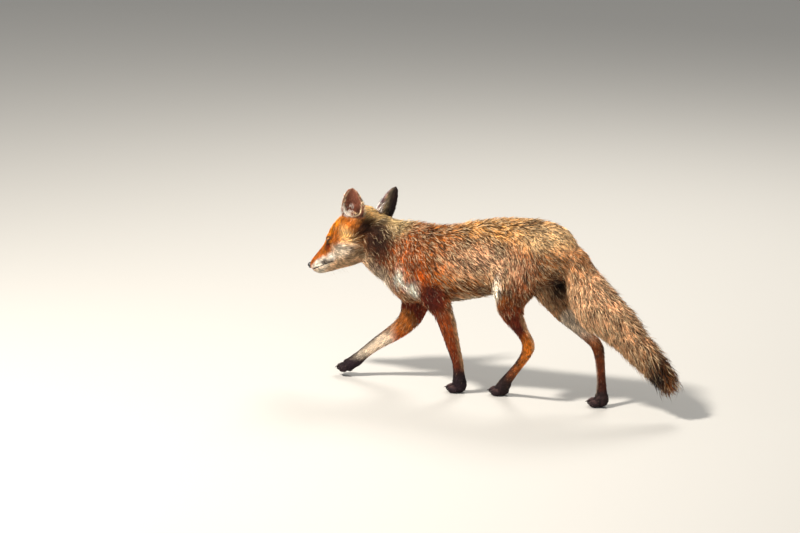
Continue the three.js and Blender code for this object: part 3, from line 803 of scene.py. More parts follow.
def ear_markings(colours, points, normals, side):
    """An ear is black behind and mauve-brown within, with painted shade low in its cup and a pale rim. Also
    which points are on it.
    """
    base, run = ear_line(side)
    rise = (points - base) @ run
    on_ear = (ear_grid.at(points) < 3.5) & (rise > 9)
    on_ear &= (points[:, 1] > MIDDLE_Y) == (side == "right")
    facing = normals @ EAR_FACING[side]
    within = on_ear * smooth(-0.1, 0.25, facing)
    behind = on_ear * (1 - smooth(-0.2, 0.1, facing))
    colours = blend(colours, "#2a1c1e", behind * smooth(18, 46, rise) * 0.9)
    within = within * smooth(19, 26, rise)
    colours = blend(colours, EAR_WITHIN[side], within)
    # Painted shade in the hollow of the cup: low and towards its rear, the inside of the ear is darker.
    rearward = smooth(-6, 8, (points - base) @ EAR_REAR[side])
    colours = blend(colours, "#2c1614", within * (1 - smooth(20, 56, rise)) * rearward * 0.9)
    rim = on_ear * (1 - smooth(0.3, 0.75, np.abs(facing))) * smooth(20, 28, rise)
    return blend(colours, "#efdcb8", rim * EAR_RIM[side]), on_ear


def markings(points, normals, which):
    """The coat's colour (linear), with painted shade and painted highlights in places, and how grizzled it
    is, at points in millimetres.
    """
    found = facts.at(points)
    colours, grizzle = found[:, 6:9].copy(), found[:, 9].copy()
    shaken = points + wobble(points, 9) * 2.2
    places = shaken.copy()
    places[:, 1] = np.abs(places[:, 1] - MIDDLE_Y)
    trunk = ~on_pieces(which, "forelegs", "hindlegs") & (headward(shaken) < 80)
    colours[trunk] = painted(colours[trunk], places[trunk], BODY_PATCHES)
    fore_end = headward(shaken) > 10
    back, right, up = head_frame(points[fore_end] + wobble(points[fore_end], 4) * 0.8)
    in_head = np.stack([back, np.abs(right), up], 1)
    colours[fore_end] = painted(colours[fore_end], in_head, HEAD_PATCHES)
    colours = leg_markings(colours, points, normals, which)
    # Painted shade in the recess between the thighs and under the brush lies over everything else on the
    # trunk.
    colours[trunk] = painted(colours[trunk], places[trunk], [PAINTED_SHADE_RECESS])
    # The brush is golden behind near its end.
    brush = smooth(330, 370, points[:, 0]) * smooth(0.2, 0.8, normals[:, 0] + 0.4 * normals[:, 2])
    colours = blend(colours, "#8c5222", brush * 0.6)
    for side in ("left", "right"):
        colours, on_ear = ear_markings(colours, points, normals, side)
        grizzle[on_ear] *= 0.5
    grizzle *= 0.25 + 0.75 * smooth(0.02, 0.14, colours.mean(axis=1))
    grey = colours.mean(axis=1)[:, None]
    return np.clip(grey + (colours - grey) * RICHNESS, DARKEST, LIGHTEST), grizzle


ear_grid = head_block.grid(ear_shell)
body_grid = body_block.grid(body_height)
head_grid = head_block.grid(head_height)


# ---------------------------------------------------------------- the lids and the skin
# The hide is one surface with its eyelids; each lid is a fold round the eyeball with a dark wet
# edge, and goes under the hide round the socket.
def add(tree, kind, inputs=(), **settings):
    """A node with its settings, each input set to a value or linked from another's output."""
    made = tree.nodes.new(kind)
    for key, value in settings.items():
        setattr(made, key, value)
    for name, value in dict(inputs).items():
        if isinstance(value, bpy.types.NodeSocket):
            tree.links.new(value, made.inputs[name])
        else:
            made.inputs[name].default_value = value
    return made


def new_material(name):
    made = bpy.data.materials.new(name)
    made.use_nodes = True
    made.node_tree.nodes.clear()
    return made, made.node_tree


def finish_material(tree, surface):
    add(tree, "ShaderNodeOutputMaterial", {"Surface": surface.outputs["BSDF"]})


def coat_material(name, roughness, streak, streak_scale):
    """Hair keratin, coloured by the pigment in each lock."""
    made, tree = new_material(name)
    tint = add(tree, "ShaderNodeAttribute", attribute_name="Coat")
    place = add(tree, "ShaderNodeTexCoord")
    noise = add(tree, "ShaderNodeTexNoise", {
        "Vector": place.outputs["Object"], "Scale": streak_scale, "Detail": 3.0})
    spread = add(tree, "ShaderNodeMapRange", {
        "Value": noise.outputs["Fac"], "From Min": 0.3, "From Max": 0.7,
        "To Min": 1 - streak, "To Max": 1 + streak})
    shade = add(tree, "ShaderNodeVectorMath", {
        0: tint.outputs["Color"], "Scale": spread.outputs["Result"]}, operation="SCALE")
    bump = add(tree, "ShaderNodeBump", {
        "Height": noise.outputs["Fac"], "Strength": 0.35, "Distance": 0.0006})
    surface = add(tree, "ShaderNodeBsdfPrincipled", {
        "Base Color": shade.outputs["Vector"], "Roughness": roughness, "Normal": bump.outputs["Normal"],
        "Specular IOR Level": 0.22})
    finish_material(tree, surface)
    return made


def give_colours(mesh, colours):
    layer = mesh.color_attributes.new("Coat", "FLOAT_COLOR", "POINT")
    four = np.ones((len(mesh.vertices), 4), np.float32)
    four[:, :3] = colours
    layer.data.foreach_set("color", four.ravel())


def add_object(name, mesh, material):
    made = bpy.data.objects.new(name, mesh)
    bpy.context.scene.collection.objects.link(made)
    mesh.materials.append(material)
    return made


def read_verts(mesh, what):
    """The verts' places ("co") or normals."""
    out = np.empty(len(mesh.vertices) * 3, np.float32)
    mesh.vertices.foreach_get(what, out)
    return out.reshape(-1, 3).astype(float)


def triangles_of(mesh):
    mesh.calc_loop_triangles()
    out = np.empty(len(mesh.loop_triangles) * 3, np.int32)
    mesh.loop_triangles.foreach_get("vertices", out)
    return out.reshape(-1, 3)


skin_points = read_verts(skin_mesh, "co")
skin_normals = read_verts(skin_mesh, "normal")
skin_triangles = triangles_of(skin_mesh)
skin_which = coat_facts(skin_points)[1]
skin_colours, _ = markings(skin_points, skin_normals, skin_which)
coat_over = facts.at(skin_points)[:, 4]
skin_colours *= (0.85 - 0.3 * smooth(2, 8, coat_over))[:, None]  # painted shade: the hide is darker under a deep coat
skin_colours[at_lips(skin_points, 1.5, 1, 54)] = linear("#1a1012")
soles = (skin_points[:, 2] < 5) & (skin_normals[:, 2] < -0.5)
skin_colours[soles] = linear("#1d1516")

LID_STEPS = 56
SOCKET_RIM = (8.3, 6.0)  # half width and half height
LID_RINGS = [  # share of the way from the almond edge to the socket, and height over the eyeball
    (0.0, -0.25), (0.04, 0.35), (0.12, 0.7), (0.3, 0.95), (0.6, 1.0), (1.0, 0.6), (1.35, -0.2), (1.7, -1.4),
]
LID_DARK = (1.0, 1.0, 1.0, 1.0, 0.85, 0.6, 0.5, 0.5)
lid_points, lid_faces, lid_colours = [], [], []
for side, place in EYE_PLACES.items():
    look, outer, over = eye_frame(side)
    base = len(lid_points)
    for ring, (share, rise) in enumerate(LID_RINGS):
        for step in range(LID_STEPS):
            turn = 2 * math.pi * step / LID_STEPS
            reach = OPENING["above"] if math.sin(turn) > 0 else OPENING["below"]
            edge_x = OPENING["half_width"] * math.cos(turn)
            edge_y = reach * math.sin(turn) * abs(math.sin(turn)) ** 0.3
            rim_x, rim_y = SOCKET_RIM[0] * math.cos(turn), SOCKET_RIM[1] * math.sin(turn)
            x, y = edge_x + (rim_x - edge_x) * share, edge_y + (rim_y - edge_y) * share
            off = math.hypot(x, y)
            angle = math.asin(min(off / EYE_RADIUS, 0.97))
            flat = (outer * x + over * y) / max(off, 1e-6)
            way = look * math.cos(angle) + flat * math.sin(angle)
            lid_points.append(place + way * (EYE_RADIUS + rise))
            lid_colours.append(LID_DARK[ring])
    for ring in range(len(LID_RINGS) - 1):
        for step in range(LID_STEPS):
            a, b = base + ring * LID_STEPS + step, base + ring * LID_STEPS + (step + 1) % LID_STEPS
            quad = (a, b, b + LID_STEPS, a + LID_STEPS)
            turned = np.cross(lid_points[b] - lid_points[a], lid_points[a + LID_STEPS] - lid_points[a])
            lid_faces.append(quad if turned @ look > 0 or ring == 0 else quad[::-1])
lid_points = np.array(lid_points)
dark = np.array(lid_colours)[:, None]
lid_rises = unit(lid_points - np.repeat(list(EYE_PLACES.values()), len(lid_points) // 2, 0))
lid_tints = markings(lid_points, lid_rises, coat_facts(lid_points)[1])[0]
lid_tints = lid_tints * (1 - dark) + linear("#150c0b") * dark
whole = bmesh.new()
whole.from_mesh(skin_mesh)
lid_verts = [whole.verts.new(p) for p in lid_points]
for face in lid_faces:
    whole.faces.new([lid_verts[i] for i in face])
whole.to_mesh(skin_mesh)
whole.free()
skin_mesh.transform(Matrix.Scale(MM, 4))
skin_mesh.polygons.foreach_set("use_smooth", [True] * len(skin_mesh.polygons))
give_colours(skin_mesh, np.vstack([skin_colours, lid_tints]))
skin = add_object("skin", skin_mesh, coat_material("hide under the coat", 0.7, 0.25, 900))
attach(skin, "root")
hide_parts(*FLESH)

# ---------------------------------------------------------------- the coat
# Locks of hair rooted in the hide, each a thin closed sliver that lies along the body, springs
# up a little and ends in a point at the outline. Long on the neck, trunk and brush, short on
# the face and legs, where the fur mostly lies flat.
TUFTS = {  # how many tufts, and how many rings each has before its tip
    "head": (17500, 2), "ears": (6500, 2), "forelegs": (14000, 2), "hindlegs": (15500, 2),
    "neck": (11500, 3), "flank": (12000, 3), "shoulder": (6500, 3), "rump": (7500, 3),
    "thighs": (9000, 3), "brush": (11500, 3),
}
CURL = {"neck": 0.5, "brush": 0.28, "flank": 0.22, "rump": 0.25, "shoulder": 0.25, "thighs": 0.22}
LIFTS = {2: (0.55, 1.0), 3: (0.5, 0.85, 1.05)}  # share of the coat's depth reached by each part
PARTS = {2: (0.5, 0.5), 3: (0.4, 0.35, 0.25)}
WIDTHS = {2: (0.9, 0.85), 3: (0.8, 1.0, 0.7)}
TUFT_ROOT = 0.8  # mm into the hide
CLEAR_OF_FLOOR = 0.8  # mm
STRAY, STRAY_CURL = 0.10, 0.25  # how far locks leave the coat's lie, and how much more if curled
MOST_DOWN, MOST_UP = -6, 9  # mm that a part of a tuft is moved to its height over the hide
CLUMP_OF, CLUMP_REACH = 8, 9  # tufts to a clump, and how far off in mm they still join it
PATCH = 0.003  # side of a tuft's patch on the map
random = np.random.default_rng(7)


def in_front(points):
    low, high = HEAD_BOX
    inside = np.all((points > np.array(low) + 4) & (points < np.array(high) - 4), axis=1)
    return inside & (headward(points) > 0)


def height_and_rise(points):
    """How far points are above the hide, and which way is straight up from it."""
    height, rise = body_grid.at(points), body_grid.slope(points)
    front = in_front(points)
    height[front] = head_grid.at(points[front])
    rise[front] = head_grid.slope(points[front], 2.0)
    for low, high, grid in paw_grids:
        on_paw = np.all((points > low) & (points < high), axis=1)
        height[on_paw] = grid.at(points[on_paw])
        rise[on_paw] = grid.slope(points[on_paw], 0.8)
    return height, rise


def sown(weights, count):
    """Faces picked evenly by weight."""
    steps = (np.arange(count) + random.random(count)) / count
    return np.searchsorted(np.cumsum(weights) / weights.sum(), steps)


def tuft_paths(roots, rises, piece, rings, lengths, depths):
    """Places along each tuft, from its root to its tip, and the rise at each."""
    paths, ups = [roots - rises * TUFT_ROOT], [rises]
    ground = height_and_rise(roots)[0]
    curl = CURL.get(piece, 0.12)
    phase = random.random(len(roots)) * 6.28
    stray = random.normal(0, 1, (len(roots), 3)) * (STRAY + STRAY_CURL * curl)
    place, up = roots, rises
    for part in range(rings):
        found = facts.at(place)
        way = unit(found[:, :3]) + stray
        way[:, 2] -= found[:, 3] * (1 - up[:, 2] ** 2)
        way -= up * np.sum(way * up, axis=1)[:, None]
        way = unit(way)
        across = np.cross(way, up)
        way = unit(way + across * (curl * np.sin(phase + 2.4 * part))[:, None])
        place = place + way * (lengths * PARTS[rings][part])[:, None]
        height, up = height_and_rise(place)
        goal = ground + depths * LIFTS[rings][part]
        place = place + up * np.clip(goal - height, MOST_DOWN, MOST_UP)[:, None]
        place[:, 2] = np.maximum(place[:, 2], CLEAR_OF_FLOOR)
        paths.append(place)
        ups.append(up)
    return np.stack(paths, 1), np.stack(ups, 1)


def nearest_of(places, points):
    """Which of the places is nearest to each point."""
    tree = KDTree(len(places))
    for number, place in enumerate(places):
        tree.insert(place, number)
    tree.balance()
    return np.array([tree.find(point)[1] for point in points])


def gathered(paths, pull):
    """Draws the tufts of each clump towards the one in its middle."""
    leaders = paths[::CLUMP_OF]
    nearest = nearest_of(leaders[:, 0], paths[:, 0])
    for part in range(1, paths.shape[1]):
        share = pull * (part / (paths.shape[1] - 1)) ** 2
        shift = leaders[nearest, part] - paths[:, part]
        near = np.linalg.norm(leaders[nearest, 0] - paths[:, 0], axis=1) < CLUMP_REACH
        paths[:, part] += shift * share * near[:, None]
    return paths, nearest


def tuft_mesh(name, paths, ups, widths, colours, marks):
    """Closed slivers of three sides: paths (n, rings + 1, 3), colours alike, marks on the map."""
    count, rings = len(paths), paths.shape[1] - 1
    ways = unit(np.diff(paths, axis=1))
    roll = random.normal(0, 0.4, count)[:, None]
    verts = np.empty((count, 3 * rings + 1, 3))
    for ring in range(rings):
        across = unit(np.cross(ways[:, ring], ups[:, ring]))
        over = np.cross(across, ways[:, ring])
        turned = across * np.cos(roll) + over * np.sin(roll)
        raised = over * np.cos(roll) - across * np.sin(roll)
        half = (widths * WIDTHS[rings][ring] / 2)[:, None]
        verts[:, 3 * ring] = paths[:, ring] - turned * half
        verts[:, 3 * ring + 1] = paths[:, ring] + turned * half
        verts[:, 3 * ring + 2] = paths[:, ring] + raised * half * 0.6
    verts[:, -1] = paths[:, -1]
    one = [(0, 1, 2)]
    for ring in range(rings - 1):
        for a in range(3):
            b = (a + 1) % 3
            low, high = 3 * ring, 3 * ring + 3
            one += [(low + a, high + a, high + b), (low + a, high + b, low + b)]
    last = 3 * rings - 3
    one += [(last + a, 3 * rings, last + (a + 1) % 3) for a in range(3)]
    one = np.array(one)
    faces = (one[None] + (np.arange(count) * (3 * rings + 1))[:, None, None]).reshape(-1, 3)
    mesh = bpy.data.meshes.new(name)
    mesh.vertices.add(count * (3 * rings + 1))
    mesh.vertices.foreach_set("co", (verts * MM).astype(np.float32).ravel())
    mesh.loops.add(len(faces) * 3)
    mesh.loops.foreach_set("vertex_index", faces.astype(np.int32).ravel())
    mesh.polygons.add(len(faces))
    mesh.polygons.foreach_set("loop_start", np.arange(0, len(faces) * 3, 3, dtype=np.int32))
    mesh.polygons.foreach_set("use_smooth", [True] * len(faces))
    mesh.update(calc_edges=True)
    ring_of = np.minimum(np.arange(3 * rings + 1) // 3, rings)
    give_colours(mesh, colours[:, ring_of].reshape(-1, 3))
    spots = np.empty((count, 3 * rings + 1, 2))
    aside = np.array([0, 1, 0.5] * rings + [0.5]) - 0.5
    spots[..., 0] = marks[:, :1] + aside * PATCH
    spots[..., 1] = marks[:, 1:] + (ring_of / rings - 0.5) * PATCH
    layer = mesh.uv_layers.new(name="OFBake")
    layer.data.foreach_set("uv", spots.reshape(-1, 2)[faces.ravel()].astype(np.float32).ravel())
    return mesh


def bake_marks(points, which, piece):
    """Each root's place on the piece unrolled: a strip for each stretch, along and round it."""
    strips = [i for i, row in enumerate(STRETCHES) if row[-1] == piece]
    marks = np.zeros((len(points), 2))
    for order, number in enumerate(strips):
        mine = which == number
        a, b = (np.array(JOINTS[name], float) for name in STRETCHES[number][:2])
        run = unit(b - a)
        away = points[mine] - a
        share = np.clip(away @ run / np.linalg.norm(b - a), -0.3, 1.3)
        first = unit(np.cross(run, (0.1, 1.0, 0.2)))
        second = np.cross(run, first)
        turn = np.arctan2(away @ second, away @ first) / (2 * math.pi) + 0.5
        marks[mine, 0] = (order + 0.03 + 0.94 * (share + 0.3) / 1.6) / len(strips)
        marks[mine, 1] = 0.01 + 0.98 * turn
    return marks


face_middles = skin_points[skin_triangles].mean(axis=1)
face_edges = np.diff(skin_points[skin_triangles], axis=1)
face_cross = np.cross(face_edges[:, 0], face_edges[:, 1])
face_areas = np.linalg.norm(face_cross, axis=1) / 2
face_normals = unit(skin_normals[skin_triangles].mean(axis=1))
face_facts = facts.at(face_middles)
face_which = coat_facts(face_middles)[1]
face_piece = np.array([STRETCHES[i][-1] for i in range(len(STRETCHES))])[face_which]
on_ear = in_front(face_middles) & (ear_grid.at(face_middles) < 1.2)
ear_up = {}
for side in ("left", "right"):
    root, rise = ear_line(side)
    ear_up[side] = (face_middles - root) @ rise
on_ear &= np.where(face_middles[:, 1] > MIDDLE_Y, ear_up["right"], ear_up["left"]) > 6
face_piece[on_ear] = "ears"
face_piece[(face_piece == "ears") & ~on_ear] = "head"
# No hair grows on the lids' edges, the nose, the lips or the soles.
LIDS_BARE = (8.2, 4.5)
NOSE_BARE = (8.5, 9.5, 8.5)
SOLE_BARE = 4.5  # mm above the floor
open_to_hair = np.ones(len(face_middles), bool)
for side, place in EYE_PLACES.items():
    look, outer, over = eye_frame(side)
    off = face_middles - place
    in_ring = (np.linalg.norm(off, axis=1) < 16) & (off @ look > 0)
    open_to_hair &= ~(in_ring & (np.hypot(off @ outer / LIDS_BARE[0], off @ over / LIDS_BARE[1]) < 1))
nose_low, nose_high = box_of("nose")
nose_middle = (nose_low + nose_high) / 2
open_to_hair &= np.linalg.norm((face_middles - nose_middle) / NOSE_BARE, axis=1) > 1
open_to_hair &= ~at_lips(face_middles, 1.2, 0, 52)
open_to_hair &= ~((face_middles[:, 2] < SOLE_BARE) & (face_normals[:, 2] < -0.4))


def in_ear_tuft(points, normals):
    """Whether roots are in the low front of an ear's cup, where long white hair grows."""
    out = np.zeros(len(points), bool)
    for side in ("left", "right"):
        base, run = ear_line(side)
        rise = (points - base) @ run
        here = (points[:, 1] > MIDDLE_Y) == (side == "right")
        here &= (normals @ EAR_FACING[side] > 0.1) & (rise > 18) & (rise < 39)
        out |= here & ((points - base) @ EAR_REAR[side] < 0)
    return out


GUARD_SHARE = {"neck": 0.16, "brush": 0.16}  # of long stiff hairs that stand above the rest
WHITE_TUFT, DARK_LOCK, PALE_LOCK, PALE_TIP = "#f6eee2", "#3a1c10", "#f0d2a4", "#e8d6b4"
CLUMP_SPREAD, BROAD_SPREAD, LOCK_SPREAD = 0.40, 0.34, 0.30  # of lightness
LIGHTEST_LOCK = 2.0
DRIFT_OF = 70  # tufts to a broad drift of one lightness
DEPTH_SHADES = {2: (0.4, 0.95, 1.15), 3: (0.3, 0.75, 1.0, 1.15)}  # from the root to the tip; the dark root is partly darker hair bases and partly painted shade deep in the coat


def roots_in(faces, weights, count):
    """Tufts' roots sown over faces, each with its face, in a shuffled order."""
    picked = faces[sown(weights, count)]
    share = random.random((len(picked), 2))
    folded = share.sum(axis=1) > 1
    share[folded] = 1 - share[folded]
    first, second, third = skin_points[skin_triangles[picked]].transpose(1, 0, 2)
    roots = first + (second - first) * share[:, :1] + (third - first) * share[:, 1:]
    order = random.permutation(len(picked))
    return picked[order], roots[order]


def lock_colours(base, grizzle, roots, clump, rings, paling):
    """Each tuft's colours from root to tip: clumps, broad drifts and single locks all differ."""
    rough = 0.65 + 0.35 * np.minimum(grizzle * 2, 1)
    clump_light = random.normal(0, CLUMP_SPREAD, clump.max() + 1)[clump]
    drifts = roots[::DRIFT_OF]
    broad_light = random.normal(0, BROAD_SPREAD, len(drifts))[nearest_of(drifts, roots)]
    lock_light = random.normal(0, LOCK_SPREAD, len(roots))
    light = np.exp((clump_light + broad_light + lock_light) * rough)
    light = np.minimum(light, LIGHTEST_LOCK)
    draw = random.random(len(roots))
    darker = draw < 0.25 * grizzle
    paler = draw > 1 - 0.35 * grizzle
    base = base * light[:, None]
    base[darker] += (linear(DARK_LOCK) - base[darker]) * 0.8
    base[paler] += (linear(PALE_LOCK) - base[paler]) * paling
    # Each tuft darkens towards its root: partly its darker hair bases, partly painted shade deep in the
    # coat.
    shades = base[:, None] * np.array(DEPTH_SHADES[rings])[:, None]
    shades[:, -1] += (linear(PALE_TIP) - shades[:, -1]) * (0.25 * grizzle)[:, None]
    return shades


coat_look = coat_material("coat hair", 0.62, 0.2, 700)
for piece, (count, rings) in TUFTS.items():
    mine = np.flatnonzero((face_piece == piece) & open_to_hair)
    lengths = face_facts[mine, 5]
    picked, roots = roots_in(mine, face_areas[mine] / (lengths * (0.5 + 0.04 * lengths)), count)
    rises = face_normals[picked]
    full_depth, full_length = face_facts[picked, 4], face_facts[picked, 5]
    guard = random.random(len(picked)) < GUARD_SHARE.get(piece, 0.08)
    lengths = full_length * random.uniform(0.72, 1.18, len(picked)) * np.where(guard, 1.3, 1)
    depths = full_depth * random.uniform(0.55, 1.1, len(picked)) * np.where(guard, 1.4, 1)
    widths = (0.45 + 0.038 * full_length) * random.uniform(0.6, 1.25, len(picked))
    base, grizzle = markings(roots, rises, face_which[picked])
    if piece == "ears":
        lengths *= 0.7
        tufted = in_ear_tuft(roots, rises) & (random.random(len(roots)) < 0.6)
        lengths[tufted] = random.uniform(11, 19, tufted.sum())
        depths[tufted] = random.uniform(2, 5, tufted.sum())
        base[tufted] = linear(WHITE_TUFT)
    paths, ups = tuft_paths(roots, rises, piece, rings, lengths, depths)
    paths, clump = gathered(paths, 0.45 if rings == 3 else 0.25)
    paling = 0.6 if rings == 3 or piece == "head" else 0.3
    shades = lock_colours(base, grizzle, roots, clump, rings, paling)
    marks = bake_marks(roots, face_which[picked], piece)
    mesh = tuft_mesh("coat_" + piece, paths, ups, widths, shades, marks)
    coat = add_object("coat_" + piece, mesh, coat_look)
    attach(coat, "root")

# ---------------------------------------------------------------- the eyes
# Wet eyeballs, amber in the iris with an upright slit for a pupil. Each is a whole ball that
# sits in its socket, held by the lids round it.
IRIS_REACH = 6.9  # mm from the middle of the eye's opening
PUPIL = (0.75, 4.2)  # half width and half height
AMBER, IRIS_EDGE, DARK_RING, PUPIL_BLACK = "#a5661c", "#5c3210", "#120b08", "#050303"
LID_GAP = 0.05
EYE_STEPS = (72, 96)


def globe(steps, pole, side_way):
    """Corners and faces of a unit ball about a pole, with the polar angle of each corner."""
    down, about = steps
    third = np.cross(pole, side_way)
    angles, points = [0.0], [pole]
    for row in range(1, down):
        angle = math.pi * (row / down) ** 1.35
        for step in range(about):
            turn = 2 * math.pi * step / about
            flat = side_way * math.cos(turn) + third * math.sin(turn)
            points.append(pole * math.cos(angle) + flat * math.sin(angle))
            angles.append(angle)
    points.append(-pole)
    angles.append(math.pi)
    faces = []
    for step in range(about):
        after = (step + 1) % about
        faces.append((0, 1 + step, 1 + after))
        for row in range(down - 2):
            a, b = 1 + row * about + step, 1 + row * about + after
            faces.append((a, a + about, b + about, b))
        last = 1 + (down - 2) * about
        faces.append((last + step, len(points) - 1, last + after))
    return np.array(points), faces, np.array(angles)


def closed_mesh(name, points, faces, rounded=True):
    """A mesh from places in millimetres, with its faces turned outward."""
    mesh = bpy.data.meshes.new(name)
    mesh.from_pydata((np.array(points) * MM).tolist(), [], faces)
    turned = bmesh.new()
    turned.from_mesh(mesh)
    bmesh.ops.recalc_face_normals(turned, faces=turned.faces)
    turned.to_mesh(mesh)
    turned.free()
    mesh.polygons.foreach_set("use_smooth", [rounded] * len(mesh.polygons))
    return mesh


def eye_material():
    """Cornea over a pigmented iris."""
    made, tree = new_material("wet eyeball")
    tint = add(tree, "ShaderNodeAttribute", attribute_name="Coat")
    surface = add(tree, "ShaderNodeBsdfPrincipled", {
        "Base Color": tint.outputs["Color"], "Roughness": 0.06,
        "Coat Weight": 1.0, "Coat Roughness": 0.02})
    finish_material(tree, surface)
    return made


eye_look = eye_material()
for side, place in EYE_PLACES.items():
    look, outer, over = eye_frame(side)
    points, faces, angles = globe(EYE_STEPS, look, outer)
    x, y = points @ outer * EYE_RADIUS, points @ over * EYE_RADIUS
    off = np.hypot(x, y) + (angles > math.pi / 2) * 20
    spoke = np.sin(np.arctan2(y, x) * 23 + 1.7 * np.sin(np.arctan2(y, x) * 7))
    tints = np.tile(linear(AMBER), (len(points), 1))
    tints *= (1 + 0.18 * spoke)[:, None]
    tints = blend(tints, IRIS_EDGE, smooth(4.6, IRIS_REACH, off) * 0.8)
    tints = blend(tints, DARK_RING, smooth(IRIS_REACH - 0.5, IRIS_REACH + 0.2, off))
    slit = 1 - smooth(0.85, 1.15, np.hypot(x / PUPIL[0], y / PUPIL[1]))
    tints = blend(tints, PUPIL_BLACK, slit)
    mesh = closed_mesh("eyeball_" + side, points * (EYE_RADIUS - LID_GAP) + place, faces)
    give_colours(mesh, tints)
    eyeball = add_object("eyeball_" + side, mesh, eye_look)
    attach(eyeball, "root")
    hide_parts("eye_" + side)

# ---------------------------------------------------------------- the nose
# Bare, damp, pebbled skin, with comma-shaped nostrils and a groove down the middle. The pad
# caps the end of the muzzle, let into the hide round it.
NOSE_STEPS = (72, 112)
NOSE_STANDS = (0.4, 0.2, 0.6)  # mm past its solid: ahead, across and up
NOSTRILS = ((0.42, -0.02, 0.24), (0.62, -0.12, 0.2), (0.8, -0.28, 0.13))  # aside, up and width
nose_half = (nose_high - nose_low) / 2 + NOSE_STANDS
points, faces, _ = globe(NOSE_STEPS, -HEAD_BACK, HEAD_RIGHT)
across, rise, ahead = points @ HEAD_RIGHT, points @ HEAD_UP, -(points @ HEAD_BACK)
pits = np.zeros(len(points))
for out in (-1, 1):
    for aside, up, wide in NOSTRILS:
        gap = np.hypot(across - out * aside, (rise - up) * 1.15)
        pits += np.exp(-((gap / wide) ** 2)) * (ahead > -0.2)
groove = np.exp(-((across / 0.07) ** 2)) * smooth(0.1, -0.3, rise) * (ahead > 0)
swell = 1 - 0.3 * np.minimum(pits, 1) - 0.12 * groove
shaped = across[:, None] * HEAD_RIGHT * nose_half[1] + rise[:, None] * HEAD_UP * nose_half[2]
shaped = (shaped - ahead[:, None] * HEAD_BACK * nose_half[0]) * swell[:, None]
mesh = closed_mesh("nose_pad", shaped + nose_middle, faces)
nose_look, tree = new_material("damp nose leather")
place = add(tree, "ShaderNodeTexCoord")
pebble = add(tree, "ShaderNodeTexVoronoi", {"Vector": place.outputs["Object"], "Scale": 1400})
bump = add(tree, "ShaderNodeBump", {
    "Height": pebble.outputs["Distance"], "Strength": 0.5, "Distance": 0.0003})
surface = add(tree, "ShaderNodeBsdfPrincipled", {
    "Base Color": (*linear("#17110f"), 1), "Roughness": 0.32, "Coat Weight": 0.3, "Coat Roughness": 0.2,
    "Normal": bump.outputs["Normal"]})
finish_material(tree, surface)
nose_pad = add_object("nose_pad", mesh, nose_look)
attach(nose_pad, "root")
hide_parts("nose")


# ---------------------------------------------------------------- the claws
# Dark horn, four to a paw, each a curved spike rooted inside its toe and worn blunt by the
# ground at its end.
def tube(spine, radii, sides):
    """A closed tapering tube round a line of places, in millimetres."""
    spine = np.array(spine, float)
    ways = unit(np.gradient(spine, axis=0))
    points, faces = [], []
    for place, way, radius in zip(spine[:-1], ways[:-1], radii):
        first = unit(np.cross(way, (0.1, 0.2, 1.0)))
        second = np.cross(way, first)
        for step in range(sides):
            turn = 2 * math.pi * step / sides
            points.append(place + (first * math.cos(turn) + second * math.sin(turn)) * radius)
    points.append(spine[-1])
    for ring in range(len(spine) - 2):
        for step in range(sides):
            a, b = ring * sides + step, ring * sides + (step + 1) % sides
            faces.append((a, b, b + sides, a + sides))
    last = (len(spine) - 2) * sides
    for step in range(sides):
        faces.append((last + step, last + (step + 1) % sides, len(points) - 1))
    faces.append(tuple(range(sides))[::-1])
    return points, faces


def plain_material(name, colour, roughness):
    """One colour and one roughness throughout."""
    made, tree = new_material(name)
    surface = add(tree, "ShaderNodeBsdfPrincipled", {
        "Base Color": (*linear(colour), 1), "Roughness": roughness})
    finish_material(tree, surface)
    return made


horn = plain_material("claw horn", "#2a211e", 0.35)
CLAW_BACK, CLAW_AHEAD = 5.5, 1.7  # mm from the middle of the solid claw
CLAW_ARCH = 1.2
CLAW_RADII = (1.25, 1.25, 1.2, 1.1, 0.9, 0.65, 0.4)
for paw in PAWS:
    for number in range(1, 5):
        node = f"{paw}_claw_{number}"
        low, high = box_of(node)
        middle = (low + high) / 2
        start = middle - TOE_WAYS[paw] * CLAW_BACK + (0, 0, 1.2)
        end = middle + TOE_WAYS[paw] * CLAW_AHEAD + (0, 0, -0.4)
        spine = []
        for part in np.linspace(0, 1, len(CLAW_RADII) + 1):
            arch = np.array([0, 0, CLAW_ARCH]) * math.sin(math.pi * part)
            spine.append(start + (end - start) * part + arch)
        claw = add_object("horn_" + node, closed_mesh("horn_" + node, *tube(spine, CLAW_RADII, 10)), horn)
        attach(claw, "root")
        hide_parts(node)

# ---------------------------------------------------------------- the whiskers
# Stiff pale hairs, rooted deep in rows on the upper lips, with shorter ones hanging from the
# jaw. All are joined into one piece.
WHISKER_ROWS = [  # back, out and up in the head's own frame, and how long
    ((20, 9.5, -11), 24), ((26, 11, -10), 30), ((33, 12.5, -9), 34), ((40, 14, -8), 34),
    ((22, 10, -15), 26), ((29, 12, -14), 32), ((36, 13.5, -13), 36), ((43, 15, -12.5), 34),
    ((27, 11.5, -18), 26), ((34, 13.5, -17.5), 30),
]
WHISKER_RADII = (0.2, 0.19, 0.17, 0.14, 0.11, 0.08)
JAW_HAIRS = 9
JAW_HAIR_RADII = (0.16, 0.15, 0.13, 0.11, 0.09, 0.06)
points, faces = [], []


def add_hair(start, way, reach, sunk, droop, radii):
    """A bristle whose root is sunk by a share of its length, and which droops towards its tip."""
    spine = []
    for share in np.linspace(-sunk, 1, len(radii) + 1):
        spine.append(start + way * reach * share + np.array(droop) * reach * share * share)
    made, sides = tube(spine, radii, 4)
    faces.extend([tuple(i + len(points) for i in face) for face in sides])
    points.extend(made)


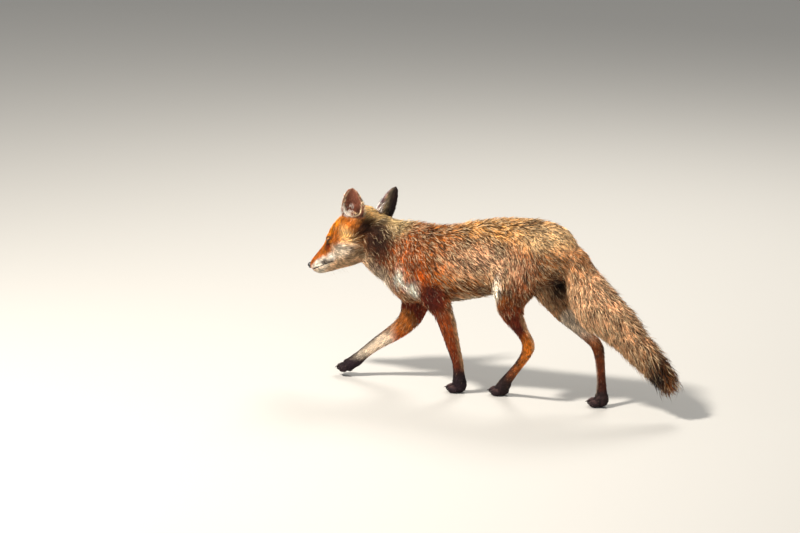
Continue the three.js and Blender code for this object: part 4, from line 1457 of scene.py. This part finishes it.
for out in (-1, 1):
    for (back, aside, up), reach in WHISKER_ROWS:
        way = unit(HEAD_BACK * 0.75 + HEAD_RIGHT * out * 0.8 - HEAD_UP * 0.35 + random.normal(0, 0.08, 3))
        add_hair(head(back, aside * out, up), way, reach, 0.04, (0, 0, -0.28), WHISKER_RADII)
    for number in range(JAW_HAIRS):
        back = 24 + 9.5 * number
        start = head(back, out * (3 + 0.04 * back), -26 - 0.17 * back)
        way = unit(HEAD_BACK * 0.45 - HEAD_UP * 0.9 + HEAD_RIGHT * out * 0.15 + random.normal(0, 0.12, 3))
        add_hair(start, way, random.uniform(14, 27), 0.1, (0.1, 0, -0.2), JAW_HAIR_RADII)
mesh = closed_mesh("whiskers", points, faces, rounded=False)
bristle = plain_material("whisker keratin", "#d8cbb8", 0.4)
whiskers = add_object("whiskers", mesh, bristle)
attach(whiskers, "root")

# ---------------------------------------------------------------- floor and light
# A wide pale floor at z = 0, under a small warm lamp from the front left, three soft ones round
# the fox and an even grey sky.
FLOOR_REACH = 30  # metres each way
floor_mesh = bpy.data.meshes.new("floor")
corners = [(x * FLOOR_REACH, y * FLOOR_REACH, 0) for x, y in ((-1, -1), (1, -1), (1, 1), (-1, 1))]
floor_mesh.from_pydata(corners, [], [(0, 1, 2, 3)])
floor = add_object("floor", floor_mesh, plain_material("pale studio floor", "#b4b1ab", 0.9))


def add_area(name, place, aim, size, power, colour):
    data = bpy.data.lights.new(name, "AREA")
    data.size = size
    data.energy = power
    data.color = colour
    lamp = bpy.data.objects.new(name, data)
    bpy.context.scene.collection.objects.link(lamp)
    lamp.location = place
    lamp.rotation_euler = (Vector(aim) - Vector(place)).to_track_quat("-Z", "Y").to_euler()


add_area("key", (-1.3, -1.7, 3.0), (0, 0, 0.2), 0.4, 225, (1.0, 0.95, 0.88))
add_area("fill", (2.4, -2.6, 1.0), (0, 0, 0.2), 2.4, 22, (0.94, 0.97, 1.0))
add_area("low", (-2.4, -2.0, 0.5), (-0.2, 0, 0.2), 1.2, 26, (1.0, 0.97, 0.93))
add_area("back", (-0.4, 2.2, 2.4), (0, 0, 0.25), 1.0, 60, (1.0, 0.97, 0.92))
world = bpy.data.worlds.new("studio")
world.use_nodes = True
sky = world.node_tree.nodes["Background"]
sky.inputs["Color"].default_value = (0.86, 0.88, 0.9, 1)
sky.inputs["Strength"].default_value = 0.45
bpy.context.scene.world = world
bpy.context.scene.view_settings.view_transform = "Standard"
